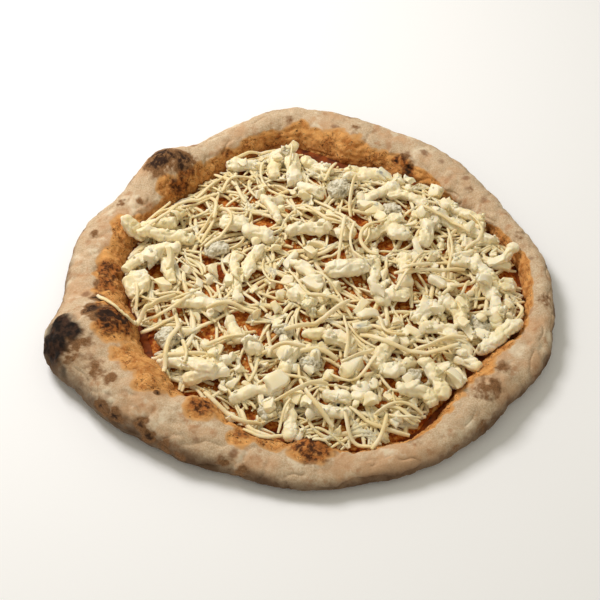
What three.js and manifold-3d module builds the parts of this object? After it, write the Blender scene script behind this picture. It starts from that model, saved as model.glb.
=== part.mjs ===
// A four cheese pizza, hand stretched, with a raised and blistered rim.
// A round of dough carries a thin spread of tomato sauce, a bed of grated cheese, soft strips and
// lumps of mozzarella laid over it, and crumbled pieces of blue cheese between them.
// Millimetres, +Z up. The origin is the middle of the footprint, on the surface that it lies on.
// Angles are in degrees, anticlockwise from +X as seen from above.

import * as THREE from 'three';
import { mergeVertices } from 'three/addons/utils/BufferGeometryUtils.js';
import Module from 'manifold-3d';

const wasm = await Module();
wasm.setup();

// ---- driving dimensions ----------------------------------------------------------------------

const RIM_RADIUS = 140;        // outer radius of the dough before its uneven lobes
const FOOT_RADIUS = 110.9;     // radius where the raised rim meets the flat middle
const RIM_HEIGHT = 18.5;       // height of the rim's crest before its lobes
const BASE_THICKNESS = 4;      // flat dough under the sauce
const UNDERCUT = 9;            // how far the rim overhangs the spot that it lies on
const CREST_SHARE = 0.46;      // crest's distance from the outer edge, as a share of the rim's width
const GIRTH_SHARE = 0.42;      // height of the rim's widest line, as a share of the crest's height
const SAUCE_THICKNESS = 1.5;
const BED_THICKNESS = 4.6;     // grated cheese in the middle, without its loose ends
const BED_INSET = 7;           // bare sauce left between the grated cheese and the rim's foot
const SHRED_WIDTH = 2.5;       // one shred of grated cheese
const GAP = 0.35;              // clearance between pieces that lie on each other

// Uneven places of the dough: [angle, change in mm, half width in degrees].
const OUTLINE_LOBES = [
  [0, 7.2, 15], [28, -1.8, 16], [50, 2.6, 16], [90, 9, 15], [119, -6.7, 10], [135, -1.4, 7], [148, -5.5, 11],
  [202, 13.1, 11], [221, 9.1, 13], [242, 4.6, 12], [272, 7.4, 16], [302, 9.6, 18], [336, 11.9, 14],
];
const FOOT_LOBES = [
  [3, 17.7, 20], [35, 4.1, 22], [68, -3, 14], [96, 8.9, 12], [134, -8.1, 16], [160, -4.6, 16],
  [197, -9.4, 20], [235, -1.6, 22], [280, 15.3, 18], [300, 13, 12], [319, 7.3, 11], [343, 13.6, 12],
];
const CREST_LOBES = [
  [15, -1, 20], [88, 3.5, 30], [134, 6, 10], [165, 1.5, 14], [202, 6, 13], [228, 8, 18], [276, -4.5, 26],
];

// Blown bubbles of the rim: [x, y, z, radius, how far it swells].
const BUBBLES = [
  [-130, -53, 15, 21, 6],      // the charred one at the left
  [-106, -43, 18, 13, 5],
  [-85, -79, 14, 13, 6],
  [-54, -99, 10, 9, 6],
  [7, -127, 9, 11, 5],
  [97, -91, 12, 16, 4],
  [-83, 88, 19, 13, 4],        // the tall one at the upper left
  [-70, 83, 15, 9, 3],
  [82, 72, 11, 14, 3],
  [31, 109, 12, 11, 2.5],
];

// Mozzarella, read off the pizza from above. Each row is one piece, made of strips or lumps that
// stick together: [x, y, heading, length, width, bend in degrees].
const MOZZARELLA = [
  // far edge, left to right
  [[-36, 95, 0, 22, 8, 0]],
  [[-18, 94, 83, 22, 7, 0], [-11, 104, -18, 12, 7, 0], [-6, 90, -87, 27, 9, 0]],
  [[8, 93, -35, 24, 7, 75]],
  [[6, 71, -28, 17, 8, 0]],
  [[-19, 56, -66, 25, 6, 10]],
  [[38, 92, 0, 22, 6, 0], [39, 86, 9, 25, 7, 0]],
  [[49, 70, 28, 26, 7.5, 0], [66, 68, -16, 27, 7.5, -105]],
  // right side, downwards
  [[76, 38, -92, 26, 8, -40]],
  [[98, 38, -30, 46, 7.5, 40]],
  [[100, 53, -34, 28, 7.5, 0]],
  [[97, 10, 0, 18, 9, 0], [106, 3, -49, 21, 9, 0], [110, -12, -69, 18, 7.5, 0]],
  [[113, 11, -24, 12, 6, 0], [122, 15, 49, 20, 6.5, 0]],
  [[121, -7, 0, 11, 9.5, 0]],
  [[89, -29, -63, 27, 8, -55]],
  [[70, -29, -121, 19, 8, 0]],
  [[112, -31, -89, 20, 7.5, 0]],
  [[113, -48, -140, 31, 8.5, 0]],
  [[78, -43, -3, 19, 7, 0], [88, -55, -60, 20, 9, 0], [93, -68, -39, 14, 7, 0]],
  [[85, -82, 0, 11, 9.5, 0]],
  // near side, right to left
  [[46, -59, -119, 27, 8, 0], [50, -73, 0, 15, 9.5, 0]],
  [[74, -80, -69, 29, 8.5, -35], [64, -90, -20, 25, 8, -90]],
  [[34, -93, 0, 15, 9, 0], [19, -93, -18, 18, 7.5, 0]],
  [[7, -100, -27, 35, 7, 55], [-7, -106, -84, 31, 7, -15]],
  [[-27, -88, 6, 30, 7, -70]],
  [[-7, -66, -119, 24, 8.5, 0]],
  [[8, -47, 0, 13, 9, 0], [21, -51, -20, 18, 9, 0]],
  // left side
  [[-47, -66, 0, 13, 10, 0]],
  [[-39, -43, -71, 20, 7, 0]],
  [[-28, -57, 0, 12, 9.5, 0]],
  [[-64, -69, -19, 35, 8.5, -15], [-54, -77, 13, 25, 9, 0]],
  [[-60, -23, -5, 32, 7, -25]],
  [[-97, -7, 90, 22, 13, 0]],
  [[-102, 35, 0, 16, 11.5, 0], [-88, 40, 8, 20, 8.5, 0]],
  [[-82, 31, -2, 34, 7, -35]],
  [[-92, 17, 33, 39, 7, -60]],
  [[-87, 12, 41, 13, 6, 0], [-79, 3, -76, 22, 6.5, 0]],
  // middle
  [[-41, 42, 0, 18, 11.5, 0], [-27, 33, -20, 19, 8.5, 0]],
  [[-39, -2, -88, 38, 6, 0]],
  [[-29, 10, -109, 27, 6.5, 0]],
  [[5, 38, -5, 24, 8, 0]],
  [[27, 33, 0, 13, 11.5, 0]],
  [[50, 38, 38, 30, 8, -20], [59, 33, 0, 13, 12, 0]],
  [[43, 5, -92, 28, 6.5, 0]],
  [[61, 3, -91, 24, 8.5, 0]],
  [[56, -17, 0, 14, 10.5, 0], [46, -19, 0, 11, 8, 0]],
  [[26, 4, 4, 26, 10, 0]],
  [[4, 3, -49, 27, 6.5, -80]],
  [[0, -19, -33, 19, 8.5, 0]],
];

// Crumbled blue cheese: [x, y, length, width, height].
const BLUE_CHEESE = [
  [-77, -49, 15, 13, 8], [24, 73, 16, 13, 7], [56, 55, 12, 9, 6], [-51, 21, 14, 10, 7],
  [5, -69, 12, 10, 7], [-19, -100, 11, 9, 6], [62, -78, 8, 10, 7], [103, -40, 9, 8, 6],
  [-10, -44, 10, 7, 6],
];

// Small ends of mozzarella that are caught in the grated cheese, as in the rows above.
const SMALL_ENDS = [
  [-19, 75, 15, 20, 5, -60], [-1, 61, 0, 18, 5, 40], [37, 66, 42, 17, 5.5, 0], [-5, 15, -114, 15, 6.5, 0],
  [14, 25, 0, 12, 7, 0], [54, 14, -111, 17, 6, 0], [-70, 51, -78, 16, 7, 0], [13, -112, 0, 17, 6, 0],
  [66, -60, -83, 16, 5.5, 0], [46, -91, -87, 12, 6, 0], [22, -80, 6, 15, 5.5, 0], [-41, -92, -45, 14, 6, 0],
  [-15, 22, 20, 8, 6, 0], [-27, -22, 0, 9, 6.5, 0], [-12, -2, 60, 9, 6, 0], [80, -3, -50, 10, 6, 0],
  [100, 28, 0, 9, 5.5, 0], [-62, -47, 30, 9, 7, 0], [-55, 2, -30, 10, 7, 0], [-58, 12, 60, 8, 6, 0],
];

// ---- small shared functions ------------------------------------------------------------------

const radians = THREE.MathUtils.degToRad;

// A repeatable stream of numbers from 0 to 1, worked out in 32-bit whole numbers.
function stream(seed) {
  let state = seed * 2654435761;
  return () => {
    state = (state + 0x6d2b79f5) | 0;
    let t = Math.imul(state ^ (state >>> 15), 1 | state);
    t = (t + Math.imul(t ^ (t >>> 7), 61 | t)) ^ t;
    return ((t ^ (t >>> 14)) >>> 0) / 4294967296;
  };
}

// Smallest signed turn between two angles.
function turn(a, b) {
  return ((a - b + 360 + 180) % 360) - 180;
}

// A draw as an uneven factor near 1, up to the given share more or less.
function uneven(random, share) {
  return 1 + share * (2 * random() - 1);
}

// A base value with rounded lobes added to it.
function lobed(base, lobes, angle) {
  return lobes.reduce(
    (sum, [centre, change, halfWidth]) => sum + change * Math.exp(-((turn(angle, centre) / halfWidth) ** 2)),
    base,
  );
}

function angleOf(x, y) {
  return (THREE.MathUtils.radToDeg(Math.atan2(y, x)) + 360) % 360;
}

function geometryOf(points, faces) {
  const geometry = new THREE.BufferGeometry();
  geometry.setAttribute('position', new THREE.Float32BufferAttribute(points.flat(), 3));
  geometry.setIndex(faces.flat());
  return geometry;
}

function solidOf(geometry) {
  const merged = mergeVertices(geometry, 1e-4);
  return new wasm.Manifold(new wasm.Mesh({
    numProp: 3,
    vertProperties: merged.attributes.position.array,
    triVerts: new Uint32Array(merged.index.array),
  }));
}

function geometryOfSolid(solid) {
  const { vertProperties, triVerts, numProp } = solid.getMesh();
  const points = [];
  for (let i = 0; i < vertProperties.length; i += numProp) {
    points.push([vertProperties[i], vertProperties[i + 1], vertProperties[i + 2]]);
  }
  return geometryOf(points, [Array.from(triVerts)]);
}

// Faces between closed rings of equal length, given from the lowest or left-most ring on.
function ringFaces(ringCount, sides) {
  const faces = [];
  for (let ring = 0; ring + 1 < ringCount; ring += 1) {
    for (let i = 0; i < sides; i += 1) {
      const a = ring * sides + i;
      const b = ring * sides + ((i + 1) % sides);
      faces.push([a, b, b + sides], [a, b + sides, a + sides]);
    }
  }
  return faces;
}

// The same with a flat cap on the first and on the last ring.
function rodFaces(ringCount, sides) {
  const faces = ringFaces(ringCount, sides);
  const last = (ringCount - 1) * sides;
  for (let i = 1; i + 1 < sides; i += 1) {
    faces.push([0, i + 1, i], [last, last + i, last + i + 1]);
  }
  return faces;
}

// ---- dough -----------------------------------------------------------------------------------

const DOUGH_SIDES = 96;

function rimAt(angle) {
  const outer = lobed(RIM_RADIUS, OUTLINE_LOBES, angle);
  const foot = lobed(FOOT_RADIUS, FOOT_LOBES, angle);
  const height = lobed(RIM_HEIGHT, CREST_LOBES, angle);
  const width = outer - foot;
  return { outer, foot, height, crest: outer - CREST_SHARE * width, girth: GIRTH_SHARE * height };
}

// Section of the rim: three quarter rounds, from the spot that it lies on, round the outside and
// over the crest, down to the flat middle. Each step is [quarter, part of the quarter].
const RIM_STEPS = [
  [0, 0], [0, 0.4], [0, 0.75], [1, 0], [1, 0.3], [1, 0.55], [1, 0.8],
  [2, 0], [2, 0.25], [2, 0.5], [2, 0.75], [2, 1],
];
const ROUND_POWER = 1.15;      // the shoulder is a little squarer than a true round
const WALL_SPREAD = 0.9;       // these two ease the inner wall's foot out of the upright
const WALL_EASE = 1.35;
const SWELL_FROM = 2;          // bubbles start this far above the floor of their quarter
const SWELL_FULL = 7;

function rimPoint({ outer, foot, height, crest, girth }, [quarter, part]) {
  const cosine = Math.cos((part * Math.PI) / 2);
  const sine = Math.sin((part * Math.PI) / 2);
  if (quarter === 0) return [outer - UNDERCUT * (1 - sine), girth * (1 - cosine)];
  if (quarter === 1) {
    return [crest + (outer - crest) * cosine ** (1 / ROUND_POWER), girth + (height - girth) * sine];
  }
  return [
    foot + (crest - foot) * (1 - sine ** WALL_SPREAD),
    BASE_THICKNESS + (height - BASE_THICKNESS) * Math.max(cosine, 0) ** WALL_EASE,
  ];
}

// Bubbles push the skin away from the line that runs round inside the rim.
function swell([x, y, z], angle, { crest, girth }, floor) {
  const core = [crest * Math.cos(radians(angle)), crest * Math.sin(radians(angle)), girth];
  const out = [x - core[0], y - core[1], z - core[2]];
  const reach = Math.hypot(...out) || 1;
  const hold = THREE.MathUtils.smoothstep(z, floor + SWELL_FROM, floor + SWELL_FULL);
  const push = BUBBLES.reduce((sum, [bx, by, bz, radius, rise]) =>
    sum + rise * Math.exp(-((x - bx) ** 2 + (y - by) ** 2 + (z - bz) ** 2) / radius ** 2), 0);
  const share = (hold * push) / reach;
  return [x + out[0] * share, y + out[1] * share, z + out[2] * share];
}

function doughGeometry() {
  const points = [];
  RIM_STEPS.forEach((step) => {
    for (let i = 0; i < DOUGH_SIDES; i += 1) {
      const angle = (i * 360) / DOUGH_SIDES;
      const rim = rimAt(angle);
      const [radius, z] = rimPoint(rim, step);
      const flat = [radius * Math.cos(radians(angle)), radius * Math.sin(radians(angle)), z];
      points.push(swell(flat, angle, rim, step[0] === 2 ? BASE_THICKNESS : 0));
    }
  });
  const faces = ringFaces(RIM_STEPS.length, DOUGH_SIDES);
  const last = (RIM_STEPS.length - 1) * DOUGH_SIDES;
  const under = points.push([0, 0, 0]) - 1;
  const over = points.push([0, 0, BASE_THICKNESS]) - 1;
  for (let i = 0; i < DOUGH_SIDES; i += 1) {
    const next = (i + 1) % DOUGH_SIDES;
    faces.push([under, next, i], [over, last + i, last + next]);
  }
  return geometryOf(points, faces);
}

// Height of the rim's inner wall over a point outside its foot.
function wallHeight(x, y) {
  const { foot, crest, height } = rimAt(angleOf(x, y));
  const across = THREE.MathUtils.clamp((Math.hypot(x, y) - foot) / (crest - foot), 0, 1);
  const sine = (1 - across) ** (1 / WALL_SPREAD);
  return BASE_THICKNESS + (height - BASE_THICKNESS) * (1 - sine ** 2) ** (WALL_EASE / 2);
}

// ---- sauce and the bed of grated cheese ---------------------------------------------------------

const SAUCE_BOTTOM = BASE_THICKNESS + GAP;
const SAUCE_TOP = SAUCE_BOTTOM + SAUCE_THICKNESS;
const BED_BOTTOM = SAUCE_TOP + GAP;

// A flat-bottomed round laid on what is below it, with a top that a function of the place gives.
function layerGeometry(edgeAt, bottom, topAt, ringShares, sides) {
  const points = [];
  [0, ...ringShares].forEach((inset, ring) => {
    for (let i = 0; i < sides; i += 1) {
      const angle = (i * 360) / sides;
      const radius = edgeAt(angle) * (1 - inset);
      const x = radius * Math.cos(radians(angle));
      const y = radius * Math.sin(radians(angle));
      points.push([x, y, ring === 0 ? bottom : topAt(x, y)]);
    }
  });
  const rings = ringShares.length + 1;
  const faces = ringFaces(rings, sides);
  const under = points.push([0, 0, bottom]) - 1;
  const over = points.push([0, 0, topAt(0, 0)]) - 1;
  for (let i = 0; i < sides; i += 1) {
    const next = (i + 1) % sides;
    faces.push([under, next, i], [over, (rings - 1) * sides + i, (rings - 1) * sides + next]);
  }
  return geometryOf(points, faces);
}

const SAUCE_EDGE_GAP = 1.2;    // between the sauce and the foot of the rim
const SAUCE_SIDES = 60;

function sauceGeometry() {
  const edgeAt = (angle) => rimAt(angle).foot - SAUCE_EDGE_GAP;
  return layerGeometry(edgeAt, SAUCE_BOTTOM, () => SAUCE_TOP, [0], SAUCE_SIDES);
}

const BED_SIDES = 48;
const BED_RINGS = [0, 0.03, 0.1, 0.26, 0.48, 0.74];      // inwards from the edge, as shares of the radius
const BED_RAGGED = [[2.2, 5, 40], [1.6, 11, 200]];       // its edge's waves: [mm, waves round, start]
const BED_RIM = 0.9;           // thickness of the bed at its edge
const BED_CROWN_POWER = 8;     // flat over most of its width, then rounded off
const BED_LUMP = 0.5;          // low lumps of its top, in two crossing patterns
const BED_RIPPLE = 0.35;

// Uneven edge and top of the bed of grated cheese.
function bedEdge(angle) {
  return BED_RAGGED.reduce(
    (edge, [reach, waves, start]) => edge + reach * Math.sin(radians(angle * waves + start)),
    rimAt(angle).foot - BED_INSET,
  );
}

function bedTop(x, y) {
  const share = Math.min(Math.hypot(x, y) / bedEdge(angleOf(x, y)), 1);
  const fill = Math.sqrt(1 - share ** BED_CROWN_POWER);
  const lumps = BED_LUMP * Math.sin(x / 9 + 1) * Math.cos(y / 7) + BED_RIPPLE * Math.sin((x + y) / 5 + 2);
  return BED_BOTTOM + BED_RIM + (BED_THICKNESS - BED_RIM + lumps) * fill;
}

// ---- soft pieces that lie on the bed ------------------------------------------------------------

const PIECE_SIDES = 7;
const PIECE_SQUARENESS = 2.6;  // 2 would be a round section
const STRIP_LENGTH_SHARE = 1.7;          // longer than this many widths, a piece is a strip, else a lump
const STRIP = { height: 0.88, taper: 0.62, bluntness: 8 };
const LUMP = { height: 0.76, taper: 0.84, bluntness: 3 };
const PIECE_UNEVENNESS = 0.1;
const PIECE_SWAY = 0.04;       // sideways wander of the section, as a share of the width

// Middle line and size of one strip or lump at a place along it, with 0 in its middle.
function pieceAt([x, y, heading, length, width, bend], along) {
  const start = radians(heading);
  const curve = radians(bend) / length;
  const now = start + curve * along;
  const reach = Math.abs(curve) < 1e-6
    ? [along * Math.cos(start), along * Math.sin(start)]
    : [(Math.sin(now) - Math.sin(start)) / curve, (Math.cos(start) - Math.cos(now)) / curve];
  const { height, taper, bluntness } = length > STRIP_LENGTH_SHARE * width ? STRIP : LUMP;
  const share = Math.min(Math.abs(along) / (length / 2), 1);
  const half = (width / 2) * Math.sqrt(1 - taper * share ** bluntness);
  return {
    x: x + reach[0],
    y: y + reach[1],
    side: [-Math.sin(now), Math.cos(now)],
    half,
    rise: half * height,
  };
}

function sectionRise(across) {
  return (1 - Math.min(Math.abs(across), 1) ** PIECE_SQUARENESS) ** (1 / PIECE_SQUARENESS);
}

// The closed skin of one strip or lump, along a line of heights.
function pieceGeometry(piece, heightAt, seed) {
  const random = stream(seed);
  const [, , , length, width] = piece;
  const ringCount = Math.max(4, Math.min(7, Math.round(length / 7) + 2));
  const twist = random() * Math.PI;
  const points = [];
  for (let ring = 0; ring < ringCount; ring += 1) {
    const along = -0.5 * length * Math.cos((Math.PI * ring) / (ringCount - 1));
    const spread = pieceAt(piece, along);
    const z = heightAt(along);
    const fullness = uneven(random, PIECE_UNEVENNESS);
    const sway = (uneven(random, PIECE_SWAY) - 1) * width;
    for (let i = 0; i < PIECE_SIDES; i += 1) {
      const angle = twist + (i * 2 * Math.PI) / PIECE_SIDES;
      const [cosine, sine] = [Math.cos(angle), Math.sin(angle)];
      const power = PIECE_SQUARENESS;
      const square = (Math.abs(cosine) ** power + Math.abs(sine) ** power) ** (-1 / power);
      const across = spread.half * fullness * cosine * square + sway;
      points.push([
        spread.x + spread.side[0] * across,
        spread.y + spread.side[1] * across,
        z + spread.rise * fullness * sine * square,
      ]);
    }
  }
  return geometryOf(points, rodFaces(ringCount, PIECE_SIDES));
}

// ---- how high things lie: a map of heights on a square grid --------------------------------------

const MAP_REACH = 150;
const MAP_STEP = 1;
const MAP_SIZE = (2 * MAP_REACH) / MAP_STEP + 1;
const heights = new Float32Array(MAP_SIZE * MAP_SIZE);
const covered = new Uint8Array(MAP_SIZE * MAP_SIZE);

function cellOf(x, y) {
  const column = Math.round((x + MAP_REACH) / MAP_STEP);
  const row = Math.round((y + MAP_REACH) / MAP_STEP);
  return row * MAP_SIZE + column;
}

function clearMap() {
  for (let x = -MAP_REACH; x <= MAP_REACH; x += MAP_STEP) {
    for (let y = -MAP_REACH; y <= MAP_REACH; y += MAP_STEP) {
      const radius = Math.hypot(x, y);
      const angle = angleOf(x, y);
      const onBed = radius < bedEdge(angle);
      const onSauce = radius < rimAt(angle).foot;
      const below = onSauce ? SAUCE_TOP : wallHeight(x, y);
      heights[cellOf(x, y)] = (onBed ? bedTop(x, y) : below) + GAP;
    }
  }
}

// Every grid place under a piece, with the height of its skin over or under its middle line.
function footprint(piece) {
  const [, , , length] = piece;
  const places = [];
  for (let along = -length / 2; along <= length / 2; along += MAP_STEP) {
    const spread = pieceAt(piece, along);
    for (let across = -spread.half; across <= spread.half; across += MAP_STEP / 2) {
      const cell = cellOf(spread.x + spread.side[0] * across, spread.y + spread.side[1] * across);
      places.push({ along, cell, rise: spread.rise * sectionRise(across / spread.half) });
    }
  }
  return places;
}

const REST_SLACK = 0.01;

// A stiff piece comes to rest on two of the highest places, one on each side of its middle.
function restLine(piece) {
  const places = footprint(piece);
  const need = new Map();
  places.forEach(({ along, cell, rise }) => {
    need.set(along, Math.max(need.get(along) ?? 0, heights[cell] + rise));
  });
  const spots = [...need.entries()];
  let best = [Math.max(...spots.map(([, height]) => height)), 0];
  spots.filter(([along]) => along < 0).forEach(([left, leftHeight]) => {
    spots.filter(([along]) => along > 0).forEach(([right, rightHeight]) => {
      const slope = (rightHeight - leftHeight) / (right - left);
      const middle = leftHeight - slope * left;
      const clears = spots.every(([along, height]) => middle + slope * along > height - REST_SLACK);
      if (clears && middle < best[0]) best = [middle, slope];
    });
  });
  return best;
}

function cover(piece, [middle, slope]) {
  footprint(piece).forEach(({ along, cell, rise }) => {
    heights[cell] = Math.max(heights[cell], middle + slope * along + rise + GAP);
    covered[cell] = 1;
  });
}

// ---- keeping clear of what is already laid -------------------------------------------------------

const TOUCH_SLACK = 0.06;      // part of the gap that the facets may take up
const LIFT_STEP = 0.1;
const MOST_LIFTS = 80;

const laid = [];               // solids already in place

function nearby(solid, others) {
  const box = solid.boundingBox();
  return others.filter((other) => {
    const otherBox = other.boundingBox();
    return [0, 1, 2].every((axis) =>
      box.min[axis] < otherBox.max[axis] + 1 && box.max[axis] > otherBox.min[axis] - 1);
  });
}

function isClear(solid, others) {
  return nearby(solid, others).every((other) => solid.minGap(other, 1) > GAP - TOUCH_SLACK);
}

// Lifts a piece by small steps until it is clear of all that lies below and beside it.
function liftClear(solid) {
  let lifted = solid;
  for (let step = 0; step < MOST_LIFTS && !isClear(lifted, laid); step += 1) {
    lifted = lifted.translate([0, 0, LIFT_STEP]);
  }
  return lifted;
}

// ---- the named parts ---------------------------------------------------------------------------

// Colour and roughness of each food, as baked.
const FINISHES = {
  crust: { color: '#d9bd93', roughness: 0.9 },
  sauce: { color: '#a5461c', roughness: 0.45 },
  grated_cheese: { color: '#ecdfae', roughness: 0.6 },
  mozzarella: { color: '#f3e8cb', roughness: 0.5 },
  blue_cheese: { color: '#b9bba6', roughness: 0.8 },
};

const pizza = new THREE.Group();

function addPart(name, geometry, finish) {
  const mesh = new THREE.Mesh(geometry, new THREE.MeshStandardMaterial({ ...finish, metalness: 0 }));
  mesh.name = name;
  pizza.add(mesh);
}

function numbered(name, index) {
  return `${name}_${String(index + 1).padStart(2, '0')}`;
}

// Every piece draws its unevenness from a seed of its own.
const BLUE_SEED = 300;
const END_SEED = 900;
const SHRED_SEED = 77;
const strokeSeed = (piece, stroke) => 10 * piece + stroke + 1;

// ---- blue cheese, straight on the bed ------------------------------------------------------------

const CRUMBLE_UNEVENNESS = 0.14;
const CRUMBLE_SINK = 0.6;      // how far a crumble would press into the bed before it is lifted clear
const CRUMBLE_SHOULDER = 0.9;  // its broad top, as a share of its height above its middle

function crumbleSolid([x, y, length, width, height], seed) {
  const random = stream(seed);
  const geometry = new THREE.IcosahedronGeometry(1, 1);
  geometry.deleteAttribute('normal');
  geometry.deleteAttribute('uv');
  const merged = mergeVertices(geometry, 1e-4);
  const position = merged.attributes.position;
  for (let i = 0; i < position.count; i += 1) {
    const rough = uneven(random, CRUMBLE_UNEVENNESS) / 2;
    position.setXYZ(
      i,
      position.getX(i) * rough * length,
      position.getY(i) * rough * width,
      position.getZ(i) * rough * height,
    );
  }
  return solidOf(merged).translate([x, y, bedTop(x, y) + height / 2 - CRUMBLE_SINK]);
}

function layBlueCheese() {
  BLUE_CHEESE.forEach((crumble, index) => {
    const [x, y, length, width, height] = crumble;
    const solid = liftClear(crumbleSolid(crumble, BLUE_SEED + index));
    laid.push(solid);
    addPart(numbered('blue_cheese', index), geometryOfSolid(solid), FINISHES.blue_cheese);
    const middle = solid.boundingBox().max[2] - (height / 2) * CRUMBLE_SHOULDER;
    cover([x, y, 0, length, width, 0], [middle, 0]);
  });
}

// ---- mozzarella, on the bed, the blue cheese and the rim's inner wall ------------------------------

const CLUMP_DROP = 1.5;        // height difference between the strokes of one clump

// Strokes of one clump lie at nearly one height, so that they stay stuck together.
function clumpLines(strokes) {
  const lines = strokes.map((stroke) => restLine(stroke));
  const highest = Math.max(...lines.map(([middle]) => middle));
  return lines.map(([middle, slope]) => [Math.max(middle, highest - CLUMP_DROP), slope]);
}

function layMozzarella() {
  MOZZARELLA.forEach((strokes, index) => {
    const lines = clumpLines(strokes);
    const skins = strokes.map((stroke, part) => {
      const [middle, slope] = lines[part];
      return solidOf(pieceGeometry(stroke, (along) => middle + slope * along, strokeSeed(index, part)));
    });
    const solid = liftClear(wasm.Manifold.union(skins));
    const name = numbered('mozzarella', index);
    if (solid.decompose().length !== 1) throw new Error(`${name} is not one piece`);
    strokes.forEach((stroke, part) => cover(stroke, lines[part]));
    laid.push(solid);
    addPart(name, geometryOfSolid(solid), FINISHES.mozzarella);
  });
}

// ---- loose ends, fused to the bed of grated cheese wherever nothing else lies ----------------------

const END_SINK = 1;            // how deep the small ends sit in the grated cheese
const SHRED_COUNT = 26;
const SHRED_TRIES = 900;
const SHRED_LENGTH = [24, 48];
const SHORTEST_SHRED = 13;     // after what would lie under a piece is cut off
const SHRED_CURL = 80;         // most that one bends to either side, in degrees
const SHRED_SIDES = 5;
const SHRED_STEPS = 6;
const SHRED_SINK = 0.7;
const SHRED_STIFFNESS = 0.02;  // how sharply a shred bends over what it crosses, per mm
const SHRED_MARGIN = 2;        // kept free beside a shred, and allowed beyond the bed's edge

function shredPath(random) {
  const angle = 360 * random();
  const radius = (bedEdge(angle) - SHRED_MARGIN) * Math.sqrt(random());
  const [shortest, longest] = SHRED_LENGTH;
  const length = shortest + (longest - shortest) * random();
  const curl = radians(2 * SHRED_CURL * (random() - 0.5)) / length;
  let heading = 2 * Math.PI * random();
  const path = [];
  let x = radius * Math.cos(radians(angle));
  let y = radius * Math.sin(radians(angle));
  for (let along = 0; along <= length; along += 1) {
    path.push([x, y]);
    heading += curl;
    x += Math.cos(heading);
    y += Math.sin(heading);
  }
  return path;
}

// A place and the four beside it, at a distance.
function crossAt([x, y], reach) {
  return [[x, y], [x + reach, y], [x - reach, y], [x, y + reach], [x, y - reach]];
}

// The longest stretch of a path that stays on the bed and off the pieces.
function openStretch(path) {
  let best = [];
  let run = [];
  path.forEach(([x, y]) => {
    const free = crossAt([x, y], SHRED_MARGIN).every(([px, py]) => !covered[cellOf(px, py)]);
    const inside = Math.hypot(x, y) < bedEdge(angleOf(x, y)) + SHRED_MARGIN;
    run = free && inside ? [...run, [x, y]] : [];
    if (run.length > best.length) best = run;
  });
  return best;
}

function shredGeometry(path) {
  const ground = path.map(([x, y]) => heights[cellOf(x, y)] - GAP);
  const lay = (i) => Math.max(...ground.map((height, j) => height - SHRED_STIFFNESS * (i - j) ** 2));
  const half = SHRED_WIDTH / 2;
  const points = [];
  for (let step = 0; step <= SHRED_STEPS; step += 1) {
    const i = Math.round((step * (path.length - 1)) / SHRED_STEPS);
    const [x, y] = path[i];
    const ahead = path[Math.min(i + 1, path.length - 1)];
    const behind = path[Math.max(i - 1, 0)];
    const heading = Math.atan2(ahead[1] - behind[1], ahead[0] - behind[0]);
    const atEnd = step === 0 || step === SHRED_STEPS;
    const z = lay(i) + half - SHRED_SINK - (atEnd ? half / 2 : 0);
    for (let side = 0; side < SHRED_SIDES; side += 1) {
      const angle = Math.PI / 2 + (side * 2 * Math.PI) / SHRED_SIDES;
      const across = half * Math.cos(angle);
      const [dx, dy] = [-Math.sin(heading) * across, Math.cos(heading) * across];
      points.push([x + dx, y + dy, z + half * Math.sin(angle)]);
    }
  }
  return geometryOf(points, rodFaces(SHRED_STEPS + 1, SHRED_SIDES));
}

function coverPath(path) {
  path.forEach(([x, y]) => {
    crossAt([x, y], MAP_STEP).forEach(([px, py]) => {
      const cell = cellOf(px, py);
      heights[cell] = Math.max(heights[cell], bedTop(x, y) + GAP + SHRED_WIDTH - SHRED_SINK);
    });
  });
}

function smallEnds(others) {
  const ends = [];
  SMALL_ENDS.forEach((stroke, index) => {
    const [middle, slope] = restLine(stroke);
    const sunk = (along) => middle + slope * along - GAP - END_SINK;
    const solid = solidOf(pieceGeometry(stroke, sunk, END_SEED + index));
    if (isClear(solid, others)) {
      ends.push(solid);
      cover(stroke, [middle - END_SINK, slope]);
    }
  });
  return ends;
}

function looseShreds(others) {
  const random = stream(SHRED_SEED);
  const shreds = [];
  for (let tries = 0; tries < SHRED_TRIES && shreds.length < SHRED_COUNT; tries += 1) {
    const path = openStretch(shredPath(random));
    const solid = path.length < SHORTEST_SHRED ? null : solidOf(shredGeometry(path));
    if (solid && isClear(solid, others)) {
      shreds.push(solid);
      coverPath(path);
    }
  }
  return shreds;
}

// ---- putting it together -----------------------------------------------------------------------

const FLATTENED_DETAIL = 0.08; // bends of the heap's skin smaller than this are left out

const dough = doughGeometry();
addPart('crust', dough, FINISHES.crust);
laid.push(solidOf(dough));

const sauce = sauceGeometry();
addPart('sauce', sauce, FINISHES.sauce);
laid.push(solidOf(sauce));

const bed = solidOf(layerGeometry(bedEdge, BED_BOTTOM, bedTop, BED_RINGS, BED_SIDES));
laid.push(bed);
clearMap();

layBlueCheese();
layMozzarella();

const besidesBed = laid.filter((solid) => solid !== bed);
const ends = smallEnds(besidesBed);
const heap = wasm.Manifold.union([bed, ...ends, ...looseShreds(besidesBed)]);
addPart('grated_cheese', geometryOfSolid(heap.simplify(FLATTENED_DETAIL)), FINISHES.grated_cheese);

// The footprint's middle becomes the origin.
const box = new THREE.Box3().setFromObject(pizza);
pizza.children.forEach((mesh) => {
  mesh.geometry.translate(-(box.min.x + box.max.x) / 2, -(box.min.y + box.max.y) / 2, 0);
});

export default pizza;
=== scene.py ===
import math

import bpy
import numpy as np
from mathutils import Euler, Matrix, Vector, noise
from mathutils.bvhtree import BVHTree


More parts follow.
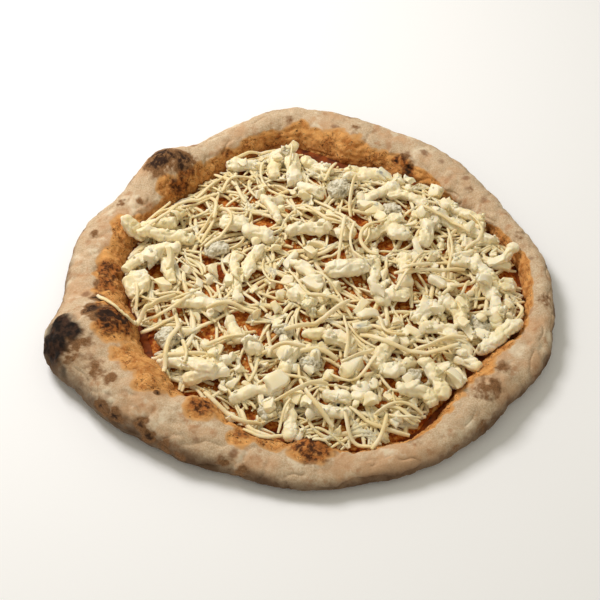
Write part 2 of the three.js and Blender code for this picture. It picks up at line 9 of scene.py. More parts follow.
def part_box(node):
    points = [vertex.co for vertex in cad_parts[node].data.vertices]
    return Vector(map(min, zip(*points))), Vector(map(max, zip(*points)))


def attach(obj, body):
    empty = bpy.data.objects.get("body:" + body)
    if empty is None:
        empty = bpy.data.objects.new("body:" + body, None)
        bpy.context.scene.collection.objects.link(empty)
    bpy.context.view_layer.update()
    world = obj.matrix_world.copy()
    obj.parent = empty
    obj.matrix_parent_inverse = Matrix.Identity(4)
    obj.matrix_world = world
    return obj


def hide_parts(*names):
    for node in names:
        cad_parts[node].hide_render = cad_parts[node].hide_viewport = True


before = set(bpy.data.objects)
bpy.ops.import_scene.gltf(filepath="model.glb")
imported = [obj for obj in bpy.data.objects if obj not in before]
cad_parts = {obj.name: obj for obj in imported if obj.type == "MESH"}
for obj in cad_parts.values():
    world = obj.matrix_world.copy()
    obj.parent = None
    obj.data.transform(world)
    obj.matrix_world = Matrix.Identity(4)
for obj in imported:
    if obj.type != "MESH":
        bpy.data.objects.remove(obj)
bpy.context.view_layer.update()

# ---- table, light and camera -----------------------------------------------------------------
# The pizza lies on a plain pale table. One large soft lamp stands behind it to the left, a wide
# weak one fills the shade from the front, and the camera looks down on it from the front.

MM = 0.001
CAMERA_TARGET = Vector((-1.3, -15.2, 8)) * MM
CAMERA_HEIGHT_ANGLE = math.radians(48)
CAMERA_DISTANCE = 882.5 * MM
CAMERA_LENS = 90
TABLE_HALF = 1.6
TABLE_COLOUR = (0.94, 0.95, 0.985, 1)
KEY_LAMP = {"place": (-0.42, 0.40, 0.75), "size": 0.34, "watts": 6.9, "colour": (1.0, 0.965, 0.935)}
FILL_LAMP = {"place": (0.5, -0.9, 0.75), "size": 1.4, "watts": 1.5, "colour": (1.0, 0.96, 0.85)}
SKY_COLOUR = (1.0, 0.945, 0.775, 1)
SKY_STRENGTH = 0.43

scene = bpy.context.scene
scene.view_settings.view_transform = "Standard"


def link(made):
    """Puts an object into the scene."""
    scene.collection.objects.link(made)
    return made


def place(tree, kind, links=None, **settings):
    """Adds one node to a tree. links gives its inputs, as values or as outputs of other nodes."""
    made = tree.nodes.new(kind)
    for name, value in settings.items():
        setattr(made, name, value)
    for socket, value in (links or {}).items():
        if isinstance(value, bpy.types.NodeSocket):
            tree.links.new(value, made.inputs[socket])
        else:
            made.inputs[socket].default_value = value
    return made


def new_material(name):
    """An empty material with its output node, as (material, node tree, output)."""
    material = bpy.data.materials.new(name)
    material.use_nodes = True
    tree = material.node_tree
    tree.nodes.clear()
    return material, tree, place(tree, "ShaderNodeOutputMaterial")


def hang_lamp(name, lamp):
    """A square soft lamp that shines at the middle of the table."""
    light = bpy.data.lights.new(name, "AREA")
    light.size = lamp["size"]
    light.energy = lamp["watts"]
    light.color = lamp["colour"]
    holder = link(bpy.data.objects.new(name, light))
    holder.location = lamp["place"]
    holder.rotation_euler = (-Vector(lamp["place"])).to_track_quat("-Z", "Y").to_euler()


def mesh_object(name, points, faces, material, smooth=True):
    """A mesh object at the origin, with its place in its points."""
    mesh = bpy.data.meshes.new(name)
    mesh.from_pydata(np.asarray(points).tolist(), [], faces)
    mesh.materials.append(material)
    if smooth:
        mesh.shade_smooth()
    return link(bpy.data.objects.new(name, mesh))


camera = link(bpy.data.objects.new("camera", bpy.data.cameras.new("camera")))
camera.data.lens = CAMERA_LENS
view_back = Vector((0, -math.cos(CAMERA_HEIGHT_ANGLE), math.sin(CAMERA_HEIGHT_ANGLE)))
camera.location = CAMERA_TARGET + view_back * CAMERA_DISTANCE
camera.rotation_euler = view_back.to_track_quat("Z", "Y").to_euler()
scene.camera = camera

hang_lamp("key_lamp", KEY_LAMP)
hang_lamp("fill_lamp", FILL_LAMP)
scene.world = bpy.data.worlds.new("studio")
scene.world.use_nodes = True
sky = scene.world.node_tree.nodes["Background"]
sky.inputs["Color"].default_value = SKY_COLOUR
sky.inputs["Strength"].default_value = SKY_STRENGTH

table_material, table_tree, table_output = new_material("table")
table_shader = place(
    table_tree, "ShaderNodeBsdfPrincipled", {"Base Color": TABLE_COLOUR, "Roughness": 0.75}
)
table_tree.links.new(table_shader.outputs[0], table_output.inputs[0])
corners = [(x * TABLE_HALF, y * TABLE_HALF, -0.2 * MM) for x, y in ((-1, -1), (1, -1), (1, 1), (-1, 1))]
table = mesh_object("table", corners, [(0, 1, 2, 3)], table_material, smooth=False)

# ---- crust -------------------------------------------------------------------------------------
# One round of bread dough, pulled out by hand, with a raised rim that blew up in the oven. Its skin
# is floury and dry, with brown spots and one charred bulge; sauce has browned on the inner wall.

CRUST_SIDES = 96               # corners of the dough's solid in one turn
CRUST_TURN_STEPS = 8           # finer steps between two of them
CRUST_SECTION_STEPS = 9
CREST_ROW = 7 / 11             # the crest's place along the section, from the underside to the foot
HUB_REACH = 10                 # mm round the middle where the solid has only its two middle points
SECTION_START = -120           # degrees from outwards where a section's corners begin, at the underside

# Relief of the skin: [size of the lumps in mm, layers, height in mm].
CRUST_RELIEF = [(26, 2, 1.1), (9, 3, 0.8), (2.4, 2, 0.16)]
CREASES = {"size": 17, "depth": 1.1, "sharpness": 12}
FLUTES = {"size": 8, "depth": 1.3}
CHAR_RELIEF = [(7, 3, 1.3), (2.4, 3, 0.6)]
CRUMBLY_RELIEF = [(2.8, 3, 0.75), (1.3, 2, 0.3)]

# How far up the inner wall the sauce has browned: [angle, share of the wall, half width].
STAIN_BASE = 0.62
STAIN_LOBES = [
    (77, 0.12, 14), (32, -0.42, 14), (0, 0.1, 9), (346, -0.08, 8), (322, 0.14, 12), (284, -0.08, 14),
    (259, 0.25, 8), (240, -0.1, 6), (226, 0.1, 6), (210, -0.12, 8), (184, 0.28, 15), (161, 0.16, 6),
    (147, -0.26, 7),
]
STAIN_RAGGED = 0.16
# Bubbles that stand up from the dough, and dents with a height below 0:
# [x, y, z, radius in mm, height in mm].
RAISED_PLACES = [
    (5, -121, 14, 10, 4.2), (-59, -103, 19, 7, 2.6), (-112, -45, 27, 9, 1.8), (-82, 87, 26, 9, 1.5),
    (-71, -98, 23, 5, -3.2), (-93, -35, 22, 5, -1.8), (104, -88, 21, 9, 1.4),
]
# Places with browned sauce, scorched ones and toasted ones: [x, y, z, radius in mm, strength].
STAIN_PLACES = [
    (-105, -50, 25, 14, 1.2), (-93, -70, 24, 14, 1.2), (-84, -90, 23, 11, 1.1), (-56, -105, 20, 10, 1.0),
    (-33, -122, 16, 9, 0.9), (6, -124, 15, 14, 1.1), (62, 94, 10, 12, 1.0), (-83, 70, 17, 9, 0.9),
]
CHAR_PLACES = [
    (-139, -62, 22, 13, 1.15), (-130, -57, 28, 8, 1.1), (-137, -51, 26, 11, 1.1), (-134, -76, 18, 8, 0.6),
    (-110, -44, 28, 6, 0.55), (-119, -40, 28, 4, 0.65), (2, -122, 14, 3, 0.45), (11, -124, 14, 3, 0.5),
]
TOAST_PLACES = [
    (-88, 86, 26, 11, 1.0), (-75, 86, 25, 10, 0.9), (-76, 74, 17, 8, 0.6), (-110, -46, 27, 11, 1.0),
    # The places at (-129, -64) and (-114, -80) darken the left bulge, which faces down towards the viewer:
    # partly real toasting, partly painted shade.
    (-101, -46, 24, 8, 0.85), (-118, -40, 28, 7, 0.9), (-129, -64, 24, 14, 0.55), (-114, -80, 22, 11, 0.4),
    (-111, 55, 19, 4, 0.55), (-125, 28, 20, 4, 0.5), (-49, 103, 16, 5, 0.5), (-16, 121, 15, 5, 0.45),
    (-8, 130, 21, 4, 0.4), (-43, 122, 19, 6, 0.2), (-57, 111, 20, 6, 0.15), (102, -91, 21, 11, 0.5),
    (111, -75, 18, 7, 0.4), (6, -127, 14, 13, 0.62), (-56, -105, 20, 9, 0.5), (-109, -101, 16, 6, 0.8),
    (-102, -107, 16, 6, 0.7), (-86, -115, 18, 6, 0.6), (-83, -119, 14, 6, 0.7), (-97, -111, 15, 5, 0.45),
    (-105, -89, 26, 5, 0.5), (-74, -125, 12, 6, 0.55), (-66, -130, 9, 5, 0.5), (-41, -134, 13, 6, 0.45),
    (-33, -139, 9, 8, 0.4), (65, 98, 16, 6, 0.6), (67, 92, 10, 5, 0.75), (83, 78, 6, 5, 0.6),
    (60, -122, 15, 7, 0.35), (141, -24, 17, 7, 0.4), (131, 29, 17, 5, 0.35), (104, 69, 17, 5, 0.35),
    (34, 121, 22, 5, 0.35), (-100, 58, 18, 4, 0.4), (96, -111, 12, 6, 0.4), (82, -124, 9, 5, 0.4),
    (-114, 0, 15, 9, 0.66), (-115, -12, 18, 8, 0.62), (-118, -27, 22, 6, 0.7), (-121, -43, 30, 4, 1.1),
    (-109, -48, 30, 7, 1.1), (-102, -48, 24, 5, 0.9), (60, 99, 14, 3, 0.9), (67, 91, 9, 3, 0.9),
    (62, 101, 16, 2, 0.8), (83, 78, 4, 2, 1.3), (77, 82, 4, 3, 0.8), (68, 94, 13, 3, 0.8),
    (-59, 77, 4, 3, 0.9), (-52, 84, 4, 3, 0.8), (9, -110, 4, 2, 1.3), (-3, -127, 16, 3, 1.1),
    (4, -125, 17, 3, 0.9), (-33, -119, 15, 6, 0.45), (-58, -100, 22, 2, 0.9), (-72, -96, 20, 2, 0.9),
    (-79, -98, 25, 2, 1.0),
]
WALL_ROLL = (115, 6)           # mm: the wall's radius, and its height laid flat, for the flutes
INNER_SHARES = (0.75, 0.4)     # rings of the flat middle, as shares of the foot's radius


def tone(red, green, blue):
    """A colour as the eye sees it, 0 to 255, in the linear values that a shader takes."""
    parts = [channel / 255 for channel in (red, green, blue)]
    return (*[c / 12.92 if c <= 0.04045 else ((c + 0.055) / 1.055) ** 2.4 for c in parts], 1)


def mesh_points(mesh):
    """A mesh's points as rows of x, y, z."""
    points = np.empty(len(mesh.vertices) * 3)
    mesh.vertices.foreach_get("co", points)
    return points.reshape(-1, 3)


def crust_lattice(node):
    """The dough's corners by angle and by place along its section, and the middle of the round."""
    points = np.unique(np.round(mesh_points(node.data), 6), axis=0)
    from_middle = np.hypot(points[:, 0], points[:, 1])
    hub = points[from_middle < HUB_REACH * MM].mean(0)
    rim = points[from_middle >= HUB_REACH * MM]
    reach = np.hypot(rim[:, 0] - hub[0], rim[:, 1] - hub[1])
    angle = np.degrees(np.arctan2(rim[:, 1] - hub[1], rim[:, 0] - hub[0])) % 360
    side = np.rint(angle / (360 / CRUST_SIDES)).astype(int) % CRUST_SIDES
    rows = len(rim) // CRUST_SIDES
    lattice = np.empty((CRUST_SIDES, rows, 3))
    for number in range(CRUST_SIDES):
        own = np.flatnonzero(side == number)
        spread = np.column_stack((reach[own], rim[own, 2]))
        core = (spread.max(0) + spread.min(0)) / 2
        turn = np.degrees(np.arctan2(spread[:, 1] - core[1], spread[:, 0] - core[0]))
        lattice[number] = rim[own[np.argsort((turn - SECTION_START) % 360)]]
    return lattice, hub


def refine(points, steps, closed):
    """Smooth finer steps through rows of points, along their first axis."""
    if closed:
        padded = np.concatenate((points[-1:], points, points[:2]))
    else:
        padded = np.concatenate((2 * points[:1] - points[1:2], points, 2 * points[-1:] - points[-2:-1]))
    before, start, end, after = (padded[shift:len(padded) - 3 + shift] for shift in range(4))
    finer = []
    for step in range(steps):
        t = step / steps
        finer.append(0.5 * (
            2 * start + (end - before) * t + (2 * before - 5 * start + 4 * end - after) * t ** 2
            + (3 * start - before - 3 * end + after) * t ** 3
        ))
    rows = np.stack(finer, 1).reshape(-1, *points.shape[1:])
    return rows if closed else np.concatenate((rows, points[-1:]))


def lumps(points, size, layers, shift=0.0):
    """Soft random lumps of a size in mm, about -1 to 1, at points in metres."""
    scaled = points / (size * MM) + shift
    return np.array([noise.fractal(Vector(p), 1.0, 2.0, layers) for p in scaled])


def relief_at(points, relief, shift=0.0):
    """Lumps of several sizes together, in mm; each is [size in mm, layers, height in mm]."""
    return sum(height * lumps(points, size, layers, shift) for size, layers, height in relief)


def smooth_step(low, high, values):
    """0 at low, 1 at high, with soft ends; low may be the larger."""
    share = np.clip((values - low) / (high - low), 0, 1)
    return share * share * (3 - 2 * share)


def lobed(base, lobes, angles):
    """A base value with rounded lobes round the turn."""
    total = np.full_like(angles, float(base))
    for centre, change, half_width in lobes:
        total += change * np.exp(-((((angles - centre + 180) % 360) - 180) / half_width) ** 2)
    return total


def at_places(points, places):
    """What each place adds at points in metres, fading with the distance from it."""
    away = [np.linalg.norm(points / MM - place[:3], axis=1) / place[3] for place in places]
    return [place[4] * np.exp(-far ** 2) for place, far in zip(places, away)]


def near_places(points, places):
    """How strongly points lie at any of the places, from 0 to 1."""
    return np.max(at_places(points, places), 0)


def write_attribute(mesh, name, values):
    """Keeps a number for each point, which the materials and node trees read."""
    attribute = mesh.attributes.new(name, "FLOAT", "POINT")
    attribute.data.foreach_set("value", np.asarray(values, np.float32))


def closed_faces(rings, sides):
    """Faces of closed rings that follow each other, capped by the two middle points after them."""
    row, side = np.meshgrid(np.arange(rings - 1), np.arange(sides), indexing="ij")
    corner, beside = row * sides + side, row * sides + (side + 1) % sides
    faces = np.stack((corner, beside, beside + sides, corner + sides), -1).reshape(-1, 4).tolist()
    last, under, over = (rings - 1) * sides, rings * sides, rings * sides + 1
    for side in range(sides):
        beside = (side + 1) % sides
        faces.append((under, beside, side))
        faces.append((over, last + side, last + beside))
    return faces


def normals_of(grid):
    """Outward directions of a grid of points [side, row], closed along its sides."""
    along = np.roll(grid, -1, 0) - np.roll(grid, 1, 0)
    across = np.gradient(grid, axis=1)
    normals = np.cross(along, across)
    return normals / np.maximum(np.linalg.norm(normals, axis=2, keepdims=True), 1e-12)


coarse, hub = crust_lattice(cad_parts["crust"])
fine = refine(coarse, CRUST_TURN_STEPS, True)
fine = refine(fine.transpose(1, 0, 2), CRUST_SECTION_STEPS, False).transpose(1, 0, 2)
crust_sides, crust_rows = fine.shape[:2]
skin = fine.reshape(-1, 3)
skin_angle = np.degrees(np.arctan2(skin[:, 1] - hub[1], skin[:, 0] - hub[0])) % 360
skin_row = np.tile(np.linspace(0, 1, crust_rows), crust_sides)
wall_share = np.clip((1 - skin_row) / (1 - CREST_ROW), 0, 1)       # 0 at the foot, 1 at the crest
inner = skin_row > CREST_ROW

stain_edge = lobed(STAIN_BASE, STAIN_LOBES, skin_angle) + STAIN_RAGGED * lumps(skin, 11, 3, 1.7)
stain = inner * smooth_step(stain_edge + 0.09, stain_edge - 0.05, wall_share)
stained = near_places(skin, STAIN_PLACES) * (1 + 0.5 * lumps(skin, 9, 3, 2.9))
stain = np.maximum(stain, smooth_step(0.3, 0.7, stained))
char = near_places(skin, CHAR_PLACES) * (1 + 0.35 * lumps(skin, 6, 3, 5.5))
toast = near_places(skin, TOAST_PLACES)
toast *= 1 + 0.5 * lumps(skin, 5.5, 3, 9.1) + 0.55 * lumps(skin, 2.2, 2, 3.3)
# Painted shade: below is 1 at the underside and 0 from about halfway up the section, and the dough's colour
# darkens with it where the rim shades its own lower wall.
below = smooth_step(0.56, 0.2, skin_row)

rise = relief_at(skin, CRUST_RELIEF)
crease = 1 - np.abs(lumps(skin * (1, 1, 1.6), CREASES["size"], 2, 7.3))
rise -= CREASES["depth"] * np.clip(crease, 0, 1) ** CREASES["sharpness"]
rolled = np.column_stack((
    np.radians(skin_angle) * WALL_ROLL[0] * MM, wall_share * WALL_ROLL[1] * MM, np.zeros(len(skin)),
))
flutes = lumps(rolled, FLUTES["size"], 2, 3.1) * inner * smooth_step(0, 0.3, wall_share)
rise += FLUTES["depth"] * flutes * smooth_step(1.0, 0.6, wall_share)
charred = smooth_step(0.3, 0.8, char)
rise += charred * relief_at(skin, CHAR_RELIEF, 12.9)
crumbly = np.clip(stain + smooth_step(0.3, 0.6, toast) * inner, 0, 1)
rise += crumbly * relief_at(skin, CRUMBLY_RELIEF, 14.2)
rise += np.sum(at_places(skin, RAISED_PLACES), 0)
rise *= MM * smooth_step(0.0, 0.06, skin_row) * (0.35 + 0.65 * smooth_step(1.0, 0.93, skin_row))
skin = skin + normals_of(fine).reshape(-1, 3) * rise[:, None]
skin[:, 2] = np.maximum(skin[:, 2], 0)

ring_points = [skin.reshape(crust_sides, crust_rows, 3)[:, row] for row in range(crust_rows)]
foot_ring = ring_points[-1]
under_ring = ring_points[0]
over_hub = np.array((hub[0], hub[1], foot_ring[:, 2].mean()))
under_hub = np.array((hub[0], hub[1], 0))
rings = [under_hub + (under_ring - under_hub) * share for share in INNER_SHARES[::-1]]
rings += ring_points
rings += [over_hub + (foot_ring - over_hub) * share for share in INNER_SHARES]
crust_points = np.concatenate(rings + [[under_hub, over_hub]])
crust_faces = closed_faces(len(rings), crust_sides)


def work_out(tree, operation, first, second):
    """What Blender's operation of that name makes of two values, as one node of a tree."""
    return place(tree, "ShaderNodeMath", {0: first, 1: second}, operation=operation).outputs[0]


class Finish:
    """A material in the making, with a short call for each kind of node that it is mixed from."""

    def __init__(self, name):
        self.material, self.tree, self.output = new_material(name)
        self.where = place(self.tree, "ShaderNodeTexCoord").outputs["Object"]

    def grain(self, scale, detail, rough=0.5):
        """Noise from 0 to 1; the larger the scale, the finer."""
        return place(self.tree, "ShaderNodeTexNoise", {
            "Vector": self.where, "Scale": scale, "Detail": detail, "Roughness": rough,
        }).outputs["Fac"]

    def math(self, operation, first, second=0.0):
        """A sum of any kind, of one or two values."""
        return work_out(self.tree, operation, first, second)

    def times(self, first, second):
        """Two values multiplied."""
        return self.math("MULTIPLY", first, second)

    def ramp(self, value, low, high):
        """0 where a value is at low and 1 where it is at high, with soft ends."""
        return place(self.tree, "ShaderNodeMapRange", {
            "Value": value, "From Min": low, "From Max": high,
        }, interpolation_type="SMOOTHSTEP").outputs["Result"]

    def mix(self, factor, first, second):
        """The first colour where the factor is 0 and the second where it is 1."""
        return place(
            self.tree, "ShaderNodeMix", {0: factor, 6: first, 7: second}, data_type="RGBA").outputs[2]

    def mask(self, name):
        """A number that the mesh keeps for each point."""
        return place(self.tree, "ShaderNodeAttribute", attribute_name=name).outputs["Fac"]

    def tones(self, value, *stops):
        """A colour that passes from tone to tone as a value grows, each given as (value, tone)."""
        made = place(self.tree, "ShaderNodeValToRGB", {"Fac": value})
        marks = made.color_ramp.elements
        marks[0].position, marks[1].position = stops[0][0], stops[-1][0]
        for between in stops[1:-1]:
            marks.new(between[0])
        for mark, stop in zip(marks, stops):
            mark.color = stop[1]
        return made.outputs["Color"]

    def done(self, colour, roughness, shine, bump, glow=None):
        """The material: bump is (strength, depth, height), glow is (weight, radius, scale)."""
        bumps = place(self.tree, "ShaderNodeBump", dict(zip(("Strength", "Distance", "Height"), bump)))
        shader = place(self.tree, "ShaderNodeBsdfPrincipled", {
            "Base Color": colour, "Roughness": roughness, "Specular IOR Level": shine,
            "Normal": bumps.outputs["Normal"],
        })
        for name, value in zip(("Weight", "Radius", "Scale"), glow or ()):
            shader.inputs["Subsurface " + name].default_value = value
        self.tree.links.new(shader.outputs[0], self.output.inputs[0])
        return self.material


def build_crust_material():
    """Floury dough with tan and brown places, browned sauce on the wall, char, and painted shade towards the
    underside.
    """
    dough = Finish("baked_dough")
    grain, ramp, mix, times, mask = dough.grain, dough.ramp, dough.mix, dough.times, dough.mask

    powder = ramp(grain(1150, 5, 0.7), 0.34, 0.66)
    colour = mix(powder, tone(216, 194, 164), tone(189, 159, 126))
    colour = mix(times(ramp(grain(40, 3, 0.55), 0.44, 0.64), 0.6), colour, tone(204, 158, 117))
    colour = mix(times(ramp(grain(115, 5, 0.62), 0.54, 0.68), 0.6), colour, tone(172, 120, 79))
    colour = mix(times(ramp(grain(75, 4, 0.6), 0.53, 0.7), 0.75), colour, tone(234, 219, 192))

    uneven = times(grain(330, 3, 0.6), 0.34)
    freckles = place(dough.tree, "ShaderNodeTexVoronoi", {"Vector": dough.where, "Scale": 88})
    chosen = place(dough.tree, "ShaderNodeSeparateColor", {"Color": freckles.outputs["Color"]}).outputs[0]
    from_spot = dough.math("ADD", freckles.outputs["Distance"], uneven)
    spot = times(ramp(from_spot, 0.48, 0.28), ramp(chosen, 0.52, 0.8))
    colour = mix(times(spot, 0.7), colour, tone(128, 85, 55))

    # Painted shade, partly real mottling: brown blotches low on the wall, then an even darker brown towards
    # the underside, stand for the shade under the rim.
    blotches_and_shade = times(ramp(mask("below"), 0.1, 0.85), ramp(grain(58, 5, 0.62), 0.4, 0.6))
    colour = mix(times(blotches_and_shade, 0.85), colour, tone(104, 73, 48))
    colour = mix(times(ramp(mask("below"), 0.25, 0.95), 0.82), colour, tone(84, 62, 44))

    browned = mix(ramp(grain(150, 4, 0.65), 0.35, 0.68), tone(226, 166, 98), tone(178, 114, 56))
    browned = mix(ramp(grain(520, 3, 0.7), 0.6, 0.68), browned, tone(54, 28, 14))
    browned = mix(times(ramp(grain(700, 3, 0.6), 0.56, 0.66), 0.6), browned, tone(226, 180, 120))
    ridge = dough.math("ABSOLUTE", dough.math("SUBTRACT", grain(210, 4, 0.6), 0.5))
    crack = times(ramp(ridge, 0.022, 0.004), ramp(grain(48, 3, 0.55), 0.44, 0.58))
    browned = mix(times(crack, 0.85), browned, tone(70, 34, 14))
    colour = mix(ramp(mask("stain"), 0.0, 0.35), colour, tone(208, 158, 104))
    colour = mix(ramp(mask("stain"), 0.3, 0.9), colour, browned)
    scorched = mix(powder, tone(148, 108, 72), tone(112, 78, 48))
    speckled = mix(ramp(grain(330, 4, 0.7), 0.4, 0.6), tone(178, 110, 54), tone(78, 43, 21))
    scorched = mix(ramp(mask("stain"), 0.3, 0.9), scorched, speckled)
    colour = mix(ramp(mask("toast"), 0.17, 0.46), colour, scorched)
    blackened = times(ramp(mask("toast"), 0.5, 0.9), ramp(grain(260, 4, 0.7), 0.3, 0.48))
    colour = mix(blackened, colour, tone(52, 32, 20))
    burnt = mix(ramp(grain(240, 4, 0.6), 0.4, 0.66), tone(25, 16, 11), tone(66, 44, 31))
    colour = mix(ramp(mask("char"), 0.25, 0.8), colour, burnt)

    return dough.done(colour, 0.85, 0.18, (0.6, 0.7 * MM, grain(800, 5, 0.68)),
                      (0.06, (1.0, 0.6, 0.35), 4 * MM))


crust = mesh_object("baked_crust", crust_points, crust_faces, build_crust_material())
# The underside's rings take the full painted shade of below; the flat middle counts as stained.
for name, values in (("stain", stain), ("char", char), ("toast", toast), ("below", below)):
    grid = values.reshape(crust_sides, crust_rows).T.reshape(-1)
    under = np.full(len(INNER_SHARES) * crust_sides, float(name == "below"))
    over = np.full(len(INNER_SHARES) * crust_sides, float(name == "stain"))
    write_attribute(crust.data, name, np.concatenate((under, grid, over, [under[0], over[0]])))
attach(crust, "root")
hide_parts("crust")

# ---- sauce -------------------------------------------------------------------------------------
# A thin spread of tomato sauce on the flat dough, cooked down till it is thick, dark and oily. It
# was spooned on, and it runs a little way up the foot of the wall all round.

SAUCE_EDGE = 2.2               # mm that it reaches into the wall
SAUCE_RINGS = 46
SAUCE_RELIEF = [(11, 2, 0.45), (3.2, 3, 0.3)]


def round_slab(edge, rings, bottom, top_of):
    """Points and faces of a closed round of an uneven edge, thin towards it, on a flat bottom."""
    sides = len(edge)
    shares = np.sqrt(np.linspace(1, 0, rings + 1)[:-1])
    middle = edge.mean(0)
    flat = np.concatenate([middle + (edge - middle) * share for share in shares])
    top = np.column_stack((flat, top_of(flat, np.repeat(shares, sides))))
    low = np.column_stack((edge, np.full(sides, bottom)))
    points = np.concatenate((low, top, [(*middle, bottom), (*middle, top[-sides:, 2].mean())]))
    return points, closed_faces(rings + 1, sides)


sauce_low, sauce_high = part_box("sauce")
foot = foot_ring[::3, :2]
foot_out = (foot - hub[:2]) / np.linalg.norm(foot - hub[:2], axis=1, keepdims=True)


def sauce_top(flat, shares):
    """The sauce's height at flat places, in metres."""
    spread = np.column_stack((flat, np.zeros(len(flat))))
    return sauce_high.z + MM * relief_at(spread, SAUCE_RELIEF, 4.4)


def build_sauce_material():
    """Dark cooked tomato with an oily shine, brighter in random patches."""
    tomato = Finish("tomato_sauce")
    colour = tomato.tones(tomato.grain(160, 4), (0.34, tone(80, 32, 8)), (0.68, tone(156, 78, 26)))
    small = tomato.grain(620, 4)
    oily = place(tomato.tree, "ShaderNodeMapRange", {"Value": small, "To Min": 0.55, "To Max": 0.9})
    return tomato.done(colour, oily.outputs["Result"], 0.2, (0.6, 0.8 * MM, small))


slab = round_slab(foot + foot_out * SAUCE_EDGE * MM, SAUCE_RINGS, sauce_low.z - 0.3 * MM, sauce_top)
sauce = mesh_object("sauce_spread", *slab, build_sauce_material())
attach(sauce, "root")
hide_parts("sauce")

# ---- grated cheese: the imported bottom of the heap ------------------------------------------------
# The grated cheese that lies lowest is packed together and has soaked up sauce. It is a low uneven
# mound, a little smaller and lower than the heap, and the loose shreds lie on it.

MAP_HALF = 152.0               # mm from the middle to the edge of the map of heights
MAP_STEP = 0.75
MAP_ABOVE = 100                # mm above the table from where the map is taken
MAP_SIZE = int(2 * MAP_HALF / MAP_STEP) + 1
BED_CROWN = 11                 # mm: the heap's usual height above the table
BED_SINK = 2.5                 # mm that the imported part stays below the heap's top
BED_RELIEF = [(13, 2, 0.9), (4.2, 3, 0.9), (1.8, 2, 0.35)]
BED_SPREAD = 4.5               # mm that the crumbs reach past the heap's edge, up to the wall
# Where the cheese keeps clear of the wall: [angle, mm, half width].
EDGE_GAPS = [(80, 8, 22), (209, 5, 10), (305, 4, 8), (331, 5, 9)]
BED_SIDES = 420
BED_RINGS = 74


def points_and_faces(thing):
    """An object's points and faces as plain lists."""
    return mesh_points(thing.data).tolist(), [list(face.vertices) for face in thing.data.polygons]


def joined(meshes):
    """The points and faces of several meshes as those of one."""
    points, faces = [], []
    for own_points, own_faces in meshes:
        start = len(points)
        points += own_points
        faces += [[start + corner for corner in face] for face in own_faces]
    return points, faces


def heights_of(things):
    """A square map of how high objects reach, in mm, with 0 where none lies."""
    tree = BVHTree.FromPolygons(*joined(map(points_and_faces, things)))
    down = Vector((0, 0, -1))
    heights = np.zeros((MAP_SIZE, MAP_SIZE))
    reach = (np.arange(MAP_SIZE) * MAP_STEP - MAP_HALF) * MM
    for row, y in enumerate(reach):
        for column, x in enumerate(reach):
            if math.hypot(x, y) < MAP_HALF * MM:
                hit = tree.ray_cast(Vector((x, y, MAP_ABOVE * MM)), down)[0]
                if hit:
                    heights[row, column] = hit.z / MM
    return heights


def cells(flat):
    """Rows and columns of the map for places in mm."""
    spots = np.clip(np.rint((flat + MAP_HALF) / MAP_STEP).astype(int), 0, MAP_SIZE - 1)
    return spots[:, 1], spots[:, 0]


foot_angle = np.arctan2(foot_ring[:, 1], foot_ring[:, 0])
foot_order = np.argsort(foot_angle)
foot_angle = foot_angle[foot_order]
foot_reach = np.hypot(foot_ring[foot_order, 0], foot_ring[foot_order, 1]) / MM


def room_at(flat):
    """How far places lie inside the edge that the cheese keeps to, near the foot of the wall, in mm."""
    turn = np.arctan2(flat[..., 1], flat[..., 0])
    edge = np.interp(turn, foot_angle, foot_reach, period=2 * np.pi)
    edge = edge - lobed(0, EDGE_GAPS, np.degrees(turn) % 360)
    return edge - np.hypot(flat[..., 0], flat[..., 1])


bed_heights = heights_of([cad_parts["grated_cheese"]])
turns = np.linspace(0, 2 * np.pi, BED_SIDES, endpoint=False)
outward = np.column_stack((np.cos(turns), np.sin(turns)))
reaches = np.arange(60, 140, 0.5)
on_bed = np.array([[bed_heights[cells((way * reach)[None])][0] > 0 for reach in reaches] for way in outward])
bed_reach = reaches[on_bed.shape[1] - 1 - on_bed[:, ::-1].argmax(1)]
bed_reach = np.mean([np.roll(bed_reach, shift) for shift in (-2, -1, 0, 1, 2)], 0)
bed_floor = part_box("grated_cheese")[0].z


def bed_top(flat, shares):
    """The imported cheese's height at flat places, in metres; shares are 1 at its edge."""
    spread = np.column_stack((flat, np.zeros(len(flat))))
    crown = (BED_CROWN - BED_SINK) * MM - bed_floor
    relief = MM * relief_at(spread, BED_RELIEF, 8.8)
    return bed_floor + (crown + relief) * np.sqrt(np.clip(1 - shares ** 10, 0, 1))


def build_bed_material():
    """Packed cheese stained by sauce, in pale crumbs over red."""
    stained = Finish("stained_cheese")
    small = stained.grain(520, 4)
    both = stained.times(stained.math("ADD", stained.grain(130, 3), small), 0.5)
    colour = stained.tones(
        both, (0.42, tone(136, 56, 10)), (0.52, tone(186, 106, 34)), (0.64, tone(218, 168, 94)))
    return stained.done(colour, 0.7, 0.15, (0.8, 0.8 * MM, small))


bed_reach = np.minimum(bed_reach + BED_SPREAD, room_at(outward) + 1.5)
slab = round_slab(outward * bed_reach[:, None] * MM, BED_RINGS, bed_floor - 0.6 * MM, bed_top)
bed = mesh_object("packed_cheese", *slab, build_bed_material())
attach(bed, "root")
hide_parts("grated_cheese")

# ---- grated cheese: the loose shreds under the mozzarella -----------------------------------------
# Long soft shreds from a coarse grater, thrown on by hand in small tufts. Each one bends over what
# it fell on and bridges the hollows between.

